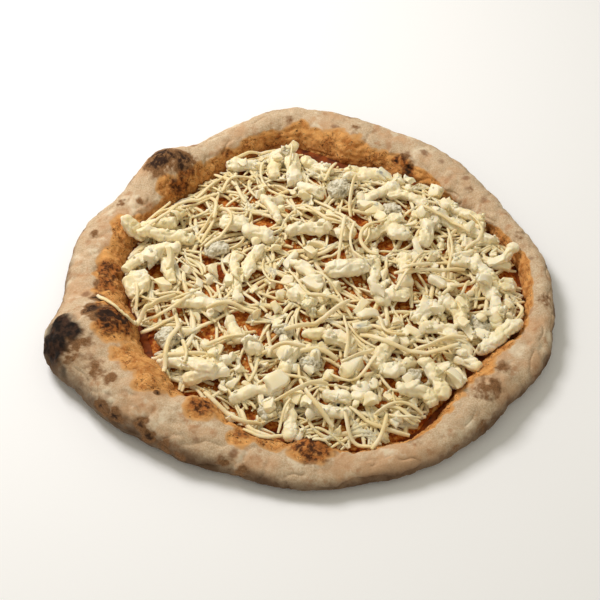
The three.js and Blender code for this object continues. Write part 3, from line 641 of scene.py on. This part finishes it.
SHRED_WIDTH = 2.9
SHRED_THICKNESS = 1.9
SHRED_BEND = 0.022             # mm of sag for each square mm away from a support
SHRED_SINK = 0.45              # share of its thickness that a shred sinks into what it lies on
THROW_HALF = 125               # mm: half of the square on which places for a tuft are tried
THROW_TRIES = 40
TUFT_SPREAD = 5.5              # mm between the middles of a tuft's shreds
TUFT_FAN = 0.34                # radians between their headings
SHRED_CURLS = (0.015, 0.014)   # turn of a tuft and of each of its shreds, in radians for each mm
SHRED_WAVE = 0.28
LOWER_TUFTS = 340
LOWER_TUFT_SIZE = (3, 6)
LOWER_LENGTH = (13, 44)
LOWER_CEILING = (8.5, 12.3)    # mm: how high they pile up at the foot of the wall and further in
CEILING_RUN = 14
BARE_CROSSING = 1              # mm of a shred that may lie over a bare place
SHRED_ROOM = 0.3               # mm that shreds keep from the edge of the cheese
SHORTEST_SHRED = 9             # mm: what is shorter after that is left out
# Places where hardly any cheese fell and the sauce shows: [x, y, radius], in mm.
BARE_PLACES = np.array([
    (-87, 5, 5), (-82, -5, 4), (-95, 17, 3), (-97, 55, 4), (-87, -29, 3), (-87, -49, 6), (-80, -65, 4.5),
    (-53, -40, 3), (-68, -91, 4), (10, 101, 9), (26, 102, 7), (-49, 66, 3.5), (-25, 45, 4.5), (36, 48, 3.5),
    (117, 15, 5), (124, 2, 5), (96, -4, 4.5), (52, 24, 3.5), (-57, 13, 3), (34, -70, 4), (107, -59, 5),
    (74, -98, 4), (52, -116, 4), (17, -70, 3.5), (23, -108, 3), (59, -20, 3), (-40, -99, 3.5),
    (-29, -102, 3.5), (-16, -110, 3.5), (11, -94, 3), (-38, -55, 2.5), (-27, -47, 2.5), (-56, -44, 3),
    (58, 6, 3.5), (66, -77, 3), (31, 39, 3.5),
])

random = np.random.default_rng(41)
dough_heights = heights_of([crust])
lying = np.maximum(heights_of([sauce, bed]), dough_heights)


def is_bare(flat, grow=0.0):
    """Whether places in mm lie where hardly any cheese fell."""
    away = np.linalg.norm(np.atleast_2d(flat)[:, None] - BARE_PLACES[:, :2], axis=2)
    return (away < BARE_PLACES[:, 2] + grow).any(1)


def shred_path(start, heading, length, curl, wave):
    """A wandering line on the flat, in steps of 1 mm."""
    along = np.arange(int(length))
    bend = curl * along + wave * np.sin(along / length * 5.2)
    step = np.column_stack((np.cos(heading + bend), np.sin(heading + bend)))
    return start + np.cumsum(step, 0) - step[:1]


def lay_shred(path, width, spring, ceiling):
    """Middle line of a shred laid on the map, which then holds the shred too."""
    thickness = width * SHRED_THICKNESS / SHRED_WIDTH
    ahead = np.gradient(path, axis=0)
    side = np.column_stack((-ahead[:, 1], ahead[:, 0])) / np.linalg.norm(ahead, axis=1, keepdims=True)
    under = np.max([lying[cells(path + side * width * share)] for share in (-0.35, 0, 0.35)], 0)
    along = np.arange(len(path))
    apart = along[:, None] - along[None, :]
    height = np.max(under[None, :] - SHRED_BEND * apart ** 2, 1) + thickness * (0.5 - SHRED_SINK)
    height += spring * np.sin(np.pi * along / len(path))
    floor = dough_heights[cells(path)]
    highest = np.interp(room_at(path), (0, CEILING_RUN), ceiling)
    height = np.clip(height, floor + thickness * 0.4, np.maximum(highest, floor + thickness))
    for share in (-0.45, -0.2, 0, 0.2, 0.45):
        spots = cells(path + side * width * share)
        np.maximum.at(lying, spots, height + thickness / 2 * math.sqrt(1 - share ** 2 * 4 * 0.9))
    return np.column_stack((path, height))


def throw_tufts(count, sizes, lengths, spring, inside, ceiling, choices):
    """Tufts of shreds that lie roughly the same way, each thrown at the lowest of a few places."""
    laid = []
    around = np.array([(x, y) for x in range(-6, 7, 2) for y in range(-6, 7, 2)])
    for _ in range(count):
        spots = random.uniform(-THROW_HALF, THROW_HALF, (THROW_TRIES, 2))
        spots = spots[room_at(spots) > inside][:choices]
        spot = spots[np.argmin([lying[cells(other + around)].mean() for other in spots])]
        lean = random.uniform(0, 2 * np.pi)
        tuft_curl = random.normal(0, SHRED_CURLS[0])
        for _ in range(random.integers(*sizes)):
            start = spot + random.normal(0, TUFT_SPREAD, 2)
            path = shred_path(start, lean + random.normal(0, TUFT_FAN), random.uniform(*lengths),
                              tuft_curl + random.normal(0, SHRED_CURLS[1]), random.normal(0, SHRED_WAVE))
            path = path - (path.mean(0) - start)
            path = path[room_at(path) > SHRED_ROOM]
            gaps = np.linalg.norm(np.diff(path, axis=0), axis=1) > 1.5
            if len(path) < SHORTEST_SHRED or gaps.any() or is_bare(path).sum() > BARE_CROSSING:
                continue
            width = SHRED_WIDTH * random.uniform(0.55, 1.0)
            laid.append((lay_shred(path, width, abs(random.normal(0, spring)), ceiling), width))
    return laid


def new_tree(name, kind, inputs, outputs):
    """A node tree and its inputs: each is (name, type, default), and each output is (name, type)."""
    tree = bpy.data.node_groups.new(name, kind)
    for label, socket, default in inputs:
        made = tree.interface.new_socket(label, in_out="INPUT", socket_type="NodeSocket" + socket)
        if default is not None:
            made.default_value = default
    for label, socket in outputs:
        tree.interface.new_socket(label, in_out="OUTPUT", socket_type="NodeSocket" + socket)
    return tree, place(tree, "NodeGroupInput").outputs


def end_tree(tree, given, shape, name):
    """Ends a node tree: its shape as real mesh, coated with the given material."""
    real = place(tree, "GeometryNodeRealizeInstances", {"Geometry": shape}).outputs[0]
    coated = place(tree, "GeometryNodeSetMaterial", {"Geometry": real, "Material": given["Material"]})
    place(tree, "NodeGroupOutput", {name: coated.outputs[0]})


def scaled(tree, direction, factor):
    """A direction made longer or shorter, as one node of a tree."""
    return place(tree, "ShaderNodeVectorMath", {0: direction, "Scale": factor}, operation="SCALE").outputs[0]


def shred_sweep_tree():
    """Sweeps a soft flat section along every line of a mesh, thinner at its ends and uneven."""
    tree, given = new_tree("sweep_shreds", "GeometryNodeTree", [
        ("Lines", "Geometry", None), ("Step", "Float", 1.8 * MM),
        ("Flatness", "Float", SHRED_THICKNESS / SHRED_WIDTH), ("Roughness", "Float", 0.22 * MM),
        ("Corners", "Int", 6), ("Material", "Material", None),
    ], [("Shreds", "Geometry")])
    reach, roll = (
        place(tree, "GeometryNodeInputNamedAttribute", {"Name": name}, data_type="FLOAT").outputs[0]
        for name in ("reach", "roll"))
    curve = place(tree, "GeometryNodeMeshToCurve", {"Mesh": given["Lines"]}).outputs[0]
    curve = place(tree, "GeometryNodeSetCurveTilt", {"Curve": curve, "Tilt": roll}).outputs[0]
    curve = place(tree, "GeometryNodeResampleCurve", {
        "Curve": curve, "Length": given["Step"],
    }, mode="LENGTH").outputs[0]
    ring = place(tree, "GeometryNodeCurvePrimitiveCircle", {"Resolution": given["Corners"], "Radius": 1.0})
    flat = place(tree, "ShaderNodeCombineXYZ", {"X": 1.0, "Y": given["Flatness"], "Z": 1.0}).outputs[0]
    section = place(tree, "GeometryNodeTransform", {"Geometry": ring.outputs[0], "Scale": flat}).outputs[0]
    swept = place(tree, "GeometryNodeCurveToMesh", {
        "Curve": curve, "Profile Curve": section, "Scale": reach, "Fill Caps": True,
    })
    uneven = place(tree, "ShaderNodeTexNoise", {"Scale": 420.0, "Detail": 2.0}).outputs["Fac"]
    swell = work_out(tree, "MULTIPLY", work_out(tree, "SUBTRACT", uneven, 0.5), given["Roughness"])
    outwards = place(tree, "GeometryNodeInputNormal").outputs[0]
    shaped = place(tree, "GeometryNodeSetPosition", {
        "Geometry": swept.outputs[0], "Offset": scaled(tree, outwards, swell),
    })
    end_tree(tree, given, shaped.outputs[0], "Shreds")
    return tree


def evaluated_mesh(thing, name):
    """The object's finished shape as a plain mesh object of its own; the first one is removed."""
    bpy.context.view_layer.update()
    mesh = bpy.data.meshes.new_from_object(thing.evaluated_get(bpy.context.evaluated_depsgraph_get()))
    bpy.data.objects.remove(thing)
    mesh.name = name
    mesh.shade_smooth()
    return link(bpy.data.objects.new(name, mesh))


def apply_tree(thing, tree, name, **values):
    """Runs a node tree on an object, with its named inputs, and keeps the result as a plain mesh."""
    modifier = thing.modifiers.new("shape", "NODES")
    modifier.node_group = tree
    for item in tree.interface.items_tree:
        if item.in_out == "INPUT" and item.name in values:
            modifier[item.identifier] = values[item.name]
    return evaluated_mesh(thing, name)


def sweep_shreds(laid, name, material, **values):
    """One piece of all the laid shreds, each one swept along its middle line."""
    points, edges, reaches, rolls = [], [], [], []
    for line, width in laid:
        start = len(points)
        points += (line * MM).tolist()
        edges += [(start + step, start + step + 1) for step in range(len(line) - 1)]
        along = np.linspace(0, 1, len(line))
        taper = 0.72 + 0.28 * np.clip(np.minimum(along, 1 - along) * 8, 0, 1) ** 0.6
        reaches += (taper * width / 2 * MM).tolist()
        rolls += (random.uniform(-0.7, 0.7) + random.normal(0, 1.1) * along).tolist()
    mesh = bpy.data.meshes.new(name)
    mesh.from_pydata(points, edges, [])
    write_attribute(mesh, "reach", reaches)
    write_attribute(mesh, "roll", rolls)
    lines = link(bpy.data.objects.new(name, mesh))
    return apply_tree(lines, shred_tree, name, Material=material, **values)


def cheese_mottle_group():
    """Soft change of tone inside cheese, deeper in broad patches, and a fine grain for its bumps."""
    tree, given = new_tree("cheese_mottle", "ShaderNodeTree", [
        ("Pale", "Color", None), ("Deep", "Color", None), ("Scale", "Float", None), ("Amount", "Float", None),
    ], [("Colour", "Color"), ("Grain", "Float")])
    where = place(tree, "ShaderNodeTexCoord").outputs["Object"]
    finer = work_out(tree, "MULTIPLY", given["Scale"], 6.0)
    broad, small = (
        place(tree, "ShaderNodeTexNoise", {"Vector": where, "Scale": scale, "Detail": detail}).outputs["Fac"]
        for scale, detail in ((given["Scale"], 2.0), (finer, 4.0)))
    patch = place(tree, "ShaderNodeMapRange", {
        "Value": broad, "From Min": 0.32, "From Max": 0.68,
    }, interpolation_type="SMOOTHSTEP").outputs["Result"]
    share = work_out(tree, "MULTIPLY", patch, given["Amount"])
    colour = place(
        tree, "ShaderNodeMix", {0: share, 6: given["Pale"], 7: given["Deep"]}, data_type="RGBA").outputs[2]
    place(tree, "NodeGroupOutput", {"Colour": colour, "Grain": small})
    return tree


def build_cheese_material(name, pale, deep, scale, amount, roughness, bump_depth, glow):
    """Soft cheese: matt to satin, and a little light goes into it and comes out again."""
    cheese = Finish(name)
    mottle = place(cheese.tree, "ShaderNodeGroup", {
        "Pale": pale, "Deep": deep, "Scale": scale, "Amount": amount,
    }, node_tree=cheese_mottle)
    return cheese.done(mottle.outputs["Colour"], roughness, 0.35, (0.5, bump_depth, mottle.outputs["Grain"]),
                       (glow, (1.0, 0.86, 0.6), 1.2 * MM))


shred_tree = shred_sweep_tree()
cheese_mottle = cheese_mottle_group()
shred_material = build_cheese_material(
    "grated_shreds", tone(244, 229, 193), tone(234, 212, 157), 90, 0.8, 0.48, 0.35 * MM, 0.5)
lower_lines = throw_tufts(LOWER_TUFTS, LOWER_TUFT_SIZE, LOWER_LENGTH, 0.3, 1.5, LOWER_CEILING, 5)
lower = sweep_shreds(lower_lines, "lower_shreds", shred_material)
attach(lower, "root")
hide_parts("grated_cheese")

# ---- mozzarella ----------------------------------------------------------------------------------
# Strips, lumps and clumps of soft mozzarella, cut and torn by hand and pressed together here and
# there. They lie on the shreds, in the places of the part's own solids.

MOZZARELLA_SKIN = 0.62         # mm between the points of its skin
MOZZARELLA_SWELL = 0.3         # mm that the skin stands outside the part's solids
MOZZARELLA_WARP = [(17, 2.0), (6, 0.7)]
MOZZARELLA_RELIEF = [(8, 2, 0.5), (2.6, 2, 0.18)]
MOZZARELLA_CREASE = {"size": 8, "depth": 0.9, "sharpness": 8}
MOZZARELLA_FACETS = [(7, 2.2), (3.6, 0.7)]


def soft_skin(name, nodes, material, step, passes):
    """One smooth skin round a number of CAD nodes, joined where they touch."""
    solids = joined(points_and_faces(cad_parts[node]) for node in nodes)
    body = mesh_object(name, *solids, material)
    weld = body.modifiers.new("weld", "WELD")
    weld.merge_threshold = 1e-5
    skin_over = body.modifiers.new("skin", "REMESH")
    skin_over.mode = "VOXEL"
    skin_over.voxel_size = step * MM
    smooth = body.modifiers.new("smooth", "SMOOTH")
    smooth.factor = 0.5
    smooth.iterations = passes
    return evaluated_mesh(body, name)


def facets(points, size):
    """Scooped faces of a size in mm with ridges between them, as where curd is cut or breaks."""
    away = np.array([noise.voronoi(Vector(p))[0][0] for p in points / (size * MM)])
    return away ** 2 - 0.25


def drift(points, size, shift):
    """A soft random push sideways and up, about -1 to 1 each way, at points in metres."""
    return np.column_stack([lumps(points, size, 1, shift + apart) for apart in (0, 37.7, 71.3)])


def shape_cheese(piece, swell, warp, relief, crease, facet, shift):
    """Pushes and dents a smooth skin till it looks torn and pressed."""
    mesh = piece.data
    points = mesh_points(mesh)
    normals = np.empty(len(points) * 3)
    mesh.vertex_normals.foreach_get("vector", normals)
    normals = normals.reshape(-1, 3)
    for size, reach in warp:
        points = points + reach * MM * drift(points, size, shift) * (1, 1, 0.4)
    rise = relief_at(points, relief, shift)
    valley = 1 - np.abs(lumps(points, crease["size"], 2, shift + 11))
    rise -= crease["depth"] * np.clip(valley, 0, 1) ** crease["sharpness"]
    rise += sum(depth * facets(points, size) for size, depth in facet)
    points = points + normals * (swell + rise[:, None]) * MM
    mesh.vertices.foreach_set("co", points.reshape(-1))
    mesh.update()


mozzarella_nodes = sorted(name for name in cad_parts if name.startswith("mozzarella"))
mozzarella_material = build_cheese_material(
    "mozzarella_flesh", tone(249, 237, 212), tone(242, 225, 174), 70, 0.7, 0.42, 0.2 * MM, 0.7)
mozzarella_pieces = []
for half, number in (("far", 0), ("near", 1)):
    own = [name for name in mozzarella_nodes if (sum(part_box(name), Vector()).y < 0) == bool(number)]
    piece = soft_skin("mozzarella_" + half, own, mozzarella_material, MOZZARELLA_SKIN, 1)
    shape_cheese(piece, MOZZARELLA_SWELL, MOZZARELLA_WARP, MOZZARELLA_RELIEF, MOZZARELLA_CREASE,
                 MOZZARELLA_FACETS, 20.5 + number)
    lying = np.maximum(lying, heights_of([piece]))
    mozzarella_pieces.append(piece)
    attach(piece, "root")
    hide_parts(*own)

# ---- blue cheese -----------------------------------------------------------------------------------
# Pieces of blue cheese, crumbled over the pizza by hand. They are dry and rough, white with veins
# and patches of blue-green mould.

BLUE_SKIN = 0.42               # mm between the points of its skin
BLUE_SWELL = 0.9
BLUE_RELIEF = [(4.2, 3, 1.1), (1.4, 3, 0.55)]
BLUE_CREASE = {"size": 3.4, "depth": 1.0, "sharpness": 5}
BLUE_FACETS = [(3.5, 0.8)]


def build_blue_material():
    """Dry white crumble with grey-green mould in veins."""
    crumble = Finish("blue_cheese_crumble")
    colour = crumble.tones(crumble.grain(260, 5, 0.65), (0.45, tone(230, 223, 202)),
                           (0.55, tone(198, 187, 158)), (0.68, tone(106, 99, 80)))
    return crumble.done(colour, 0.65, 0.5, (0.8, 0.5 * MM, crumble.grain(900, 3)),
                        (0.15, (1.0, 0.8, 0.5), 1.5 * MM))


blue_nodes = sorted(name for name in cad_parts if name.startswith("blue_cheese"))
blue = soft_skin("blue_crumbles", blue_nodes, build_blue_material(), BLUE_SKIN, 2)
shape_cheese(blue, BLUE_SWELL, [], BLUE_RELIEF, BLUE_CREASE, BLUE_FACETS, 31.5)
lying = np.maximum(lying, heights_of([blue]))
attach(blue, "root")
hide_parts(*blue_nodes)

# ---- mozzarella: the small bits --------------------------------------------------------------------
# Cubes and ends of mozzarella, 3 to 13 mm, that were cut with the larger pieces and fill the places
# between them.

BIT_COUNT = 190
BIT_SIZES = [((4.0, 7.5), (1.0, 1.5), 0.7), ((7, 13), (0.34, 0.5), 0.3)]   # length, girth, share
BIT_EDGE = (0.22, 0.55)        # rounding of its edges, as a share of half its size
BIT_SKEW = 0.42                # how far its corners are out of square
BIT_BEND = 0.5                 # how far a long one bends, as a share of its length
BIT_WARP = [(5.5, 1.5), (2.4, 0.6)]
SEEN_BIT_SPANS = ((0.95, 1.35), (0.6, 0.9), (0.55, 0.75))   # length, width and height by its size
# Bits that stand out in the pile: [x, y, size in mm].
SEEN_BITS = [
    (44, -17, 7), (87, -11, 8), (65, -32, 7), (13, -19, 7), (2, -12, 6), (-65, -44, 6), (-61, -5, 6),
    (-68, 5, 6), (-9, -3, 6), (-19, -5, 6), (-16, 21, 5), (-51, 45, 5), (101, -35, 7), (57, -52, 8),
    (77, -78, 8), (39, -84, 7), (-14, -88, 12), (-55, -56, 6), (95, 24, 7), (103, 22, 5), (115, 20, 6),
    (27, -72, 10), (89, 59, 7), (48, -90, 6), (61, -96, 6), (85, -85, 9), (15, -77, 7), (33, -89, 8),
    (58, -70, 7), (69, -60, 8), (95, -21, 8), (108, -9, 8), (-91, 10, 7), (-81, -9, 8), (-10, -66, 8),
    (-69, -62, 9), (-39, -105, 6),
]
BIT_LINES = (-1, -0.86, -0.36, 0.36, 0.86, 1)
BIT_HEAP = 17.5                # mm: places that are higher than this get no more bits
BIT_ROOM = (124, 4)            # mm: half of the square they fall on, and what they keep from the edge
BIT_LEAN = ((0.5, -0.85), (-60, 60), (0.45, 1))   # way to the heaped side, mm along it, share kept
BIT_REST = (0.42, 0.8)         # its middle and its top above the ground, as shares of its height


def block_net():
    """Points and faces of a cube of side 2, with closer lines near its edges."""
    number, faces = {}, []
    cells_across = range(len(BIT_LINES) - 1)
    for axis in range(3):
        for end in (-1, 1):
            for first, second in ((first, second) for first in cells_across for second in cells_across):
                around = [(first, second), (first + 1, second), (first + 1, second + 1), (first, second + 1)]
                face = []
                for one, two in around if end == 1 else around[::-1]:
                    spot = [BIT_LINES[one], BIT_LINES[two]]
                    spot.insert(axis, end)
                    face.append(number.setdefault(tuple(spot), len(number)))
                faces.append(face if axis != 1 else face[::-1])
    return np.array(list(number), float), faces


def cut_block(centre, size, net):
    """A cut block of a size in mm: out of square, with soft edges, bent and turned at random."""
    edge = random.uniform(*BIT_EDGE)
    core = np.clip(net, edge - 1, 1 - edge)
    points = core + (net - core) * edge / np.maximum(np.linalg.norm(net - core, axis=1, keepdims=True), 1e-9)
    skew = random.normal(0, BIT_SKEW, (2, 2, 2, 3)) * 0.5
    share = (net + 1) / 2
    for x, y, z in np.ndindex(2, 2, 2):
        weight = np.prod(np.where((x, y, z), share, 1 - share), 1)
        points = points + weight[:, None] * skew[x, y, z]
    points = points * size / 2
    bend = random.normal(0, BIT_BEND) / size[0]
    points[:, 1] += bend * points[:, 0] ** 2
    turn, lean, roll = random.uniform(0, 2 * np.pi), random.normal(0, 0.32), random.normal(0, 0.5)
    turned = Euler((roll, lean, turn)).to_matrix()
    return points @ np.array(turned).T + centre


def random_bit():
    """A place and a size, in mm, for one more bit; more of them where the near side is heaped."""
    while True:
        spot = random.uniform(-BIT_ROOM[0], BIT_ROOM[0], 2)
        if room_at(spot) < BIT_ROOM[1] or is_bare(spot, 2)[0]:
            continue
        way, along, kept = BIT_LEAN
        if random.uniform() > np.interp(spot @ way, along, kept):
            continue
        kind = BIT_SIZES[0] if random.uniform() < BIT_SIZES[0][2] else BIT_SIZES[1]
        length = random.uniform(*kind[0])
        girth = random.uniform(*kind[1])
        girth = length * girth if kind is BIT_SIZES[1] else length / girth
        if np.median(lying[cells(spot + random.normal(0, girth / 3, (9, 2)))]) < BIT_HEAP:
            return spot, np.array((length, girth, girth * random.uniform(0.6, 0.95)))


def drop_bits(count):
    """Blocks dropped on the map one after the other."""
    net, net_faces = block_net()
    blocks = []
    for number in range(len(SEEN_BITS) + count):
        if number < len(SEEN_BITS):
            x, y, length = SEEN_BITS[number]
            spot = np.array((x, y))
            size = length * np.array([random.uniform(*span) for span in SEEN_BIT_SPANS])
        else:
            spot, size = random_bit()
        ground = np.median(lying[cells(spot + random.normal(0, size[1] / 3, (9, 2)))])
        block = cut_block((*spot, ground + size[2] * BIT_REST[0]), size, net)
        blocks.append((block.tolist(), net_faces))
        reach = np.arange(-size[1] / 2, size[1] / 2 + 0.1, MAP_STEP)
        spread = np.array([(x, y) for x in reach for y in reach])
        np.maximum.at(lying, cells(spot + spread), ground + size[2] * BIT_REST[1])
    points, faces = joined(blocks)
    points = np.array(points) * MM
    for size, reach in BIT_WARP:
        points = points + reach * MM * drift(points, size, 0.0)
    return points, faces


bits = mesh_object("mozzarella_bits", *drop_bits(BIT_COUNT), mozzarella_material)
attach(bits, "root")

# ---- mozzarella: the scraps ------------------------------------------------------------------------
# Flakes and torn edges of mozzarella, 1 to 4 mm, that came off when it was torn. They cling to the
# larger pieces and the bits and make them rough.

SCRAP_DENSITY = 0.018          # scraps on each square mm of the pieces' upper side
SCRAP_SIZE = (0.8, 2.2)        # mm from its middle to its skin


def strew(tree, given, spots, thing, slimmest, fattest):
    """Puts a thing on every spot, turned, stretched and sized at random by the tree's own inputs."""
    turned, stretched = (
        place(tree, "FunctionNodeRandomValue", {"Min": least, "Max": most, "Seed": given["Seed"]},
              data_type="FLOAT_VECTOR").outputs[0]
        for least, most in (((0, 0, 0), (6.28, 6.28, 6.28)), (slimmest, fattest)))
    sized = place(tree, "FunctionNodeRandomValue", {
        2: given["Smallest"], 3: given["Largest"], 8: given["Seed"],
    }, data_type="FLOAT").outputs[1]
    return place(tree, "GeometryNodeInstanceOnPoints", {
        "Points": spots, "Instance": thing, "Rotation": turned, "Scale": scaled(tree, stretched, sized),
    }).outputs[0]


def scrap_tree():
    """Sticks one broken flake, turned and stretched at random, on many places of a skin."""
    tree, given = new_tree("stick_scraps", "GeometryNodeTree", [
        ("Cheese", "Geometry", None), ("Density", "Float", SCRAP_DENSITY / MM ** 2),
        ("Smallest", "Float", SCRAP_SIZE[0] * MM), ("Largest", "Float", SCRAP_SIZE[1] * MM),
        ("Seed", "Int", 8), ("Material", "Material", None),
    ], [("Scraps", "Geometry")])
    block = place(tree, "GeometryNodeMeshCube", {
        "Size": (1.7, 1.5, 1.2), "Vertices X": 3, "Vertices Y": 3, "Vertices Z": 3,
    }).outputs[0]
    torn = place(tree, "ShaderNodeTexNoise", {"Scale": 1.3, "Detail": 1.0}).outputs["Color"]
    torn = place(tree, "ShaderNodeVectorMath", {0: torn, 1: (0.5, 0.5, 0.5)}, operation="SUBTRACT").outputs[0]
    flake = place(tree, "GeometryNodeSetPosition", {"Geometry": block, "Offset": scaled(tree, torn, 1.5)})
    flake = flake.outputs[0]
    normal = place(tree, "GeometryNodeInputNormal").outputs[0]
    upward = place(tree, "ShaderNodeSeparateXYZ", {0: normal}).outputs[2]
    patchy = place(tree, "ShaderNodeTexNoise", {"Scale": 85.0, "Detail": 1.0}).outputs["Fac"]
    rough, upper = (
        place(tree, "ShaderNodeMapRange", {"Value": value, "From Min": low, "From Max": high}).outputs[0]
        for value, low, high in ((patchy, 0.42, 0.62), (upward, 0.0, 0.3)))
    density = work_out(tree, "MULTIPLY", work_out(tree, "MULTIPLY", rough, upper), given["Density"])
    spots = place(tree, "GeometryNodeDistributePointsOnFaces", {
        "Mesh": given["Cheese"], "Density": density, "Seed": given["Seed"],
    }).outputs["Points"]
    end_tree(tree, given, strew(tree, given, spots, flake, (0.6, 0.5, 0.5), (1.7, 1.1, 1.0)), "Scraps")
    return tree


skins = joined(map(points_and_faces, mozzarella_pieces + [bits]))
scraps = apply_tree(mesh_object("cheese_skin", *skins, mozzarella_material), scrap_tree(),
                    "mozzarella_scraps", Material=mozzarella_material)
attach(scraps, "root")

# ---- grated cheese: the crumbs --------------------------------------------------------------------
# Crumbs of hard cheese and broken ends of shreds, 1 to 2 mm, that came off the grater and fell into
# the gaps everywhere.

CRUMB_COUNT = 1300
CRUMB_SIZE = (0.5, 1.35)       # mm from its middle to its skin
CRUMB_ROOM = (128, 3)          # mm: half of the square they fall on, and what they keep from the edge
CRUMB_LOW = (9, 13)            # mm: all stay where the heap is as low as this, none where it is so high
CRUMB_LIFT = 0.2               # mm from the surface to a crumb's middle


def crumb_places(count):
    """Places on the map, low ones more often, with the crumb's middle just above the surface."""
    spots = random.uniform(-CRUMB_ROOM[0], CRUMB_ROOM[0], (count * 4, 2))
    spots = spots[(room_at(spots) > CRUMB_ROOM[1]) & ~is_bare(spots)]
    ground = lying[cells(spots)]
    spots = spots[random.uniform(0, 1, len(spots)) < np.interp(ground, CRUMB_LOW, (1, 0))][:count]
    return np.column_stack((spots, lying[cells(spots)] + CRUMB_LIFT)) * MM


def crumb_tree():
    """Puts an uneven crumb at every point, turned and sized at random."""
    tree, given = new_tree("drop_crumbs", "GeometryNodeTree", [
        ("Places", "Geometry", None), ("Smallest", "Float", CRUMB_SIZE[0] * MM),
        ("Largest", "Float", CRUMB_SIZE[1] * MM), ("Seed", "Int", 5), ("Material", "Material", None),
    ], [("Crumbs", "Geometry")])
    crumb = place(tree, "GeometryNodeMeshIcoSphere", {"Radius": 1.0, "Subdivisions": 1}).outputs[0]
    strewn = strew(tree, given, given["Places"], crumb, (0.6, 0.6, 0.5), (1.5, 1.2, 1.0))
    end_tree(tree, given, strewn, "Crumbs")
    return tree


spots_mesh = bpy.data.meshes.new("crumb_places")
spots_mesh.from_pydata(crumb_places(CRUMB_COUNT).tolist(), [], [])
crumb_material = build_cheese_material(
    "hard_cheese", tone(240, 222, 176), tone(226, 186, 120), 200, 0.9, 0.6, 0.3 * MM, 0.15)
crumbs = apply_tree(link(bpy.data.objects.new("crumb_places", spots_mesh)), crumb_tree(), "cheese_crumbs",
                    Material=crumb_material)
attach(crumbs, "root")

# ---- grated cheese: the loose shreds on top --------------------------------------------------------
# The last handful of grated shreds, thrown over the mozzarella. They lie in long arcs from lump to
# lump.

UPPER_TUFTS = 26
UPPER_TUFT_SIZE = (2, 5)
UPPER_LENGTH = (16, 50)
UPPER_CEILING = (14, 27)
# Shreds that stand out in the pile, as points that each one passes, in mm.
SEEN_SHREDS = [
    [(-118, -26), (-107, -36), (-100, -42), (-95, -44)], [(-96, -42), (-92, -33), (-85, -25), (-73, -20)],
    [(-93, -42), (-86, -41), (-78, -36)], [(-85, -65), (-70, -66), (-54, -63)],
    [(-73, -33), (-71, -45), (-76, -58), (-77, -79)], [(-68, -54), (-65, -66), (-66, -73)],
    [(-66, 66), (-59, 74), (-50, 84)], [(-50, 71), (-45, 81), (-36, 84), (-29, 81)],
    [(-57, 64), (-53, 56), (-54, 44)], [(26, 40), (23, 21), (21, 8)],
    [(33, -47), (52, -59), (72, -63), (89, -58)], [(-10, -47), (7, -39), (28, -24)],
    [(24, -69), (26, -53), (24, -33)], [(26, -100), (39, -111), (59, -116)],
    [(23, -105), (27, -121), (40, -125)], [(46, -106), (43, -117), (37, -127)],
    [(-34, -99), (-28, -113), (-15, -120)], [(-32, -114), (-22, -120), (-10, -118)],
    [(-54, -91), (-44, -101), (-34, -108), (-22, -109)], [(126, -20), (127, -30), (122, -39)],
    [(72, 51), (89, 40), (101, 29)], [(14, 78), (18, 88), (22, 95)], [(-1, -63), (10, -63), (20, -68)],
    [(-23, -62), (-11, -58), (2, -61)], [(-55, -57), (-46, -52), (-32, -50)],
]


def line_through(places):
    """A smooth line through places in mm, in steps of 1 mm."""
    smooth = refine(np.array(places, float), 10, False)
    run = np.concatenate(([0], np.cumsum(np.linalg.norm(np.diff(smooth, axis=0), axis=1))))
    return np.column_stack([np.interp(np.arange(0, run[-1]), run, smooth[:, axis]) for axis in (0, 1)])


upper_lines = throw_tufts(UPPER_TUFTS, UPPER_TUFT_SIZE, UPPER_LENGTH, 0.6, 4, UPPER_CEILING, 3)
for places in SEEN_SHREDS:
    width = SHRED_WIDTH * random.uniform(0.8, 1.05)
    upper_lines.append((lay_shred(line_through(places), width, 0.5, UPPER_CEILING), width))
upper = sweep_shreds(upper_lines, "upper_shreds", shred_material, Step=1.5 * MM, Corners=8)
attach(upper, "root")
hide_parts("grated_cheese")
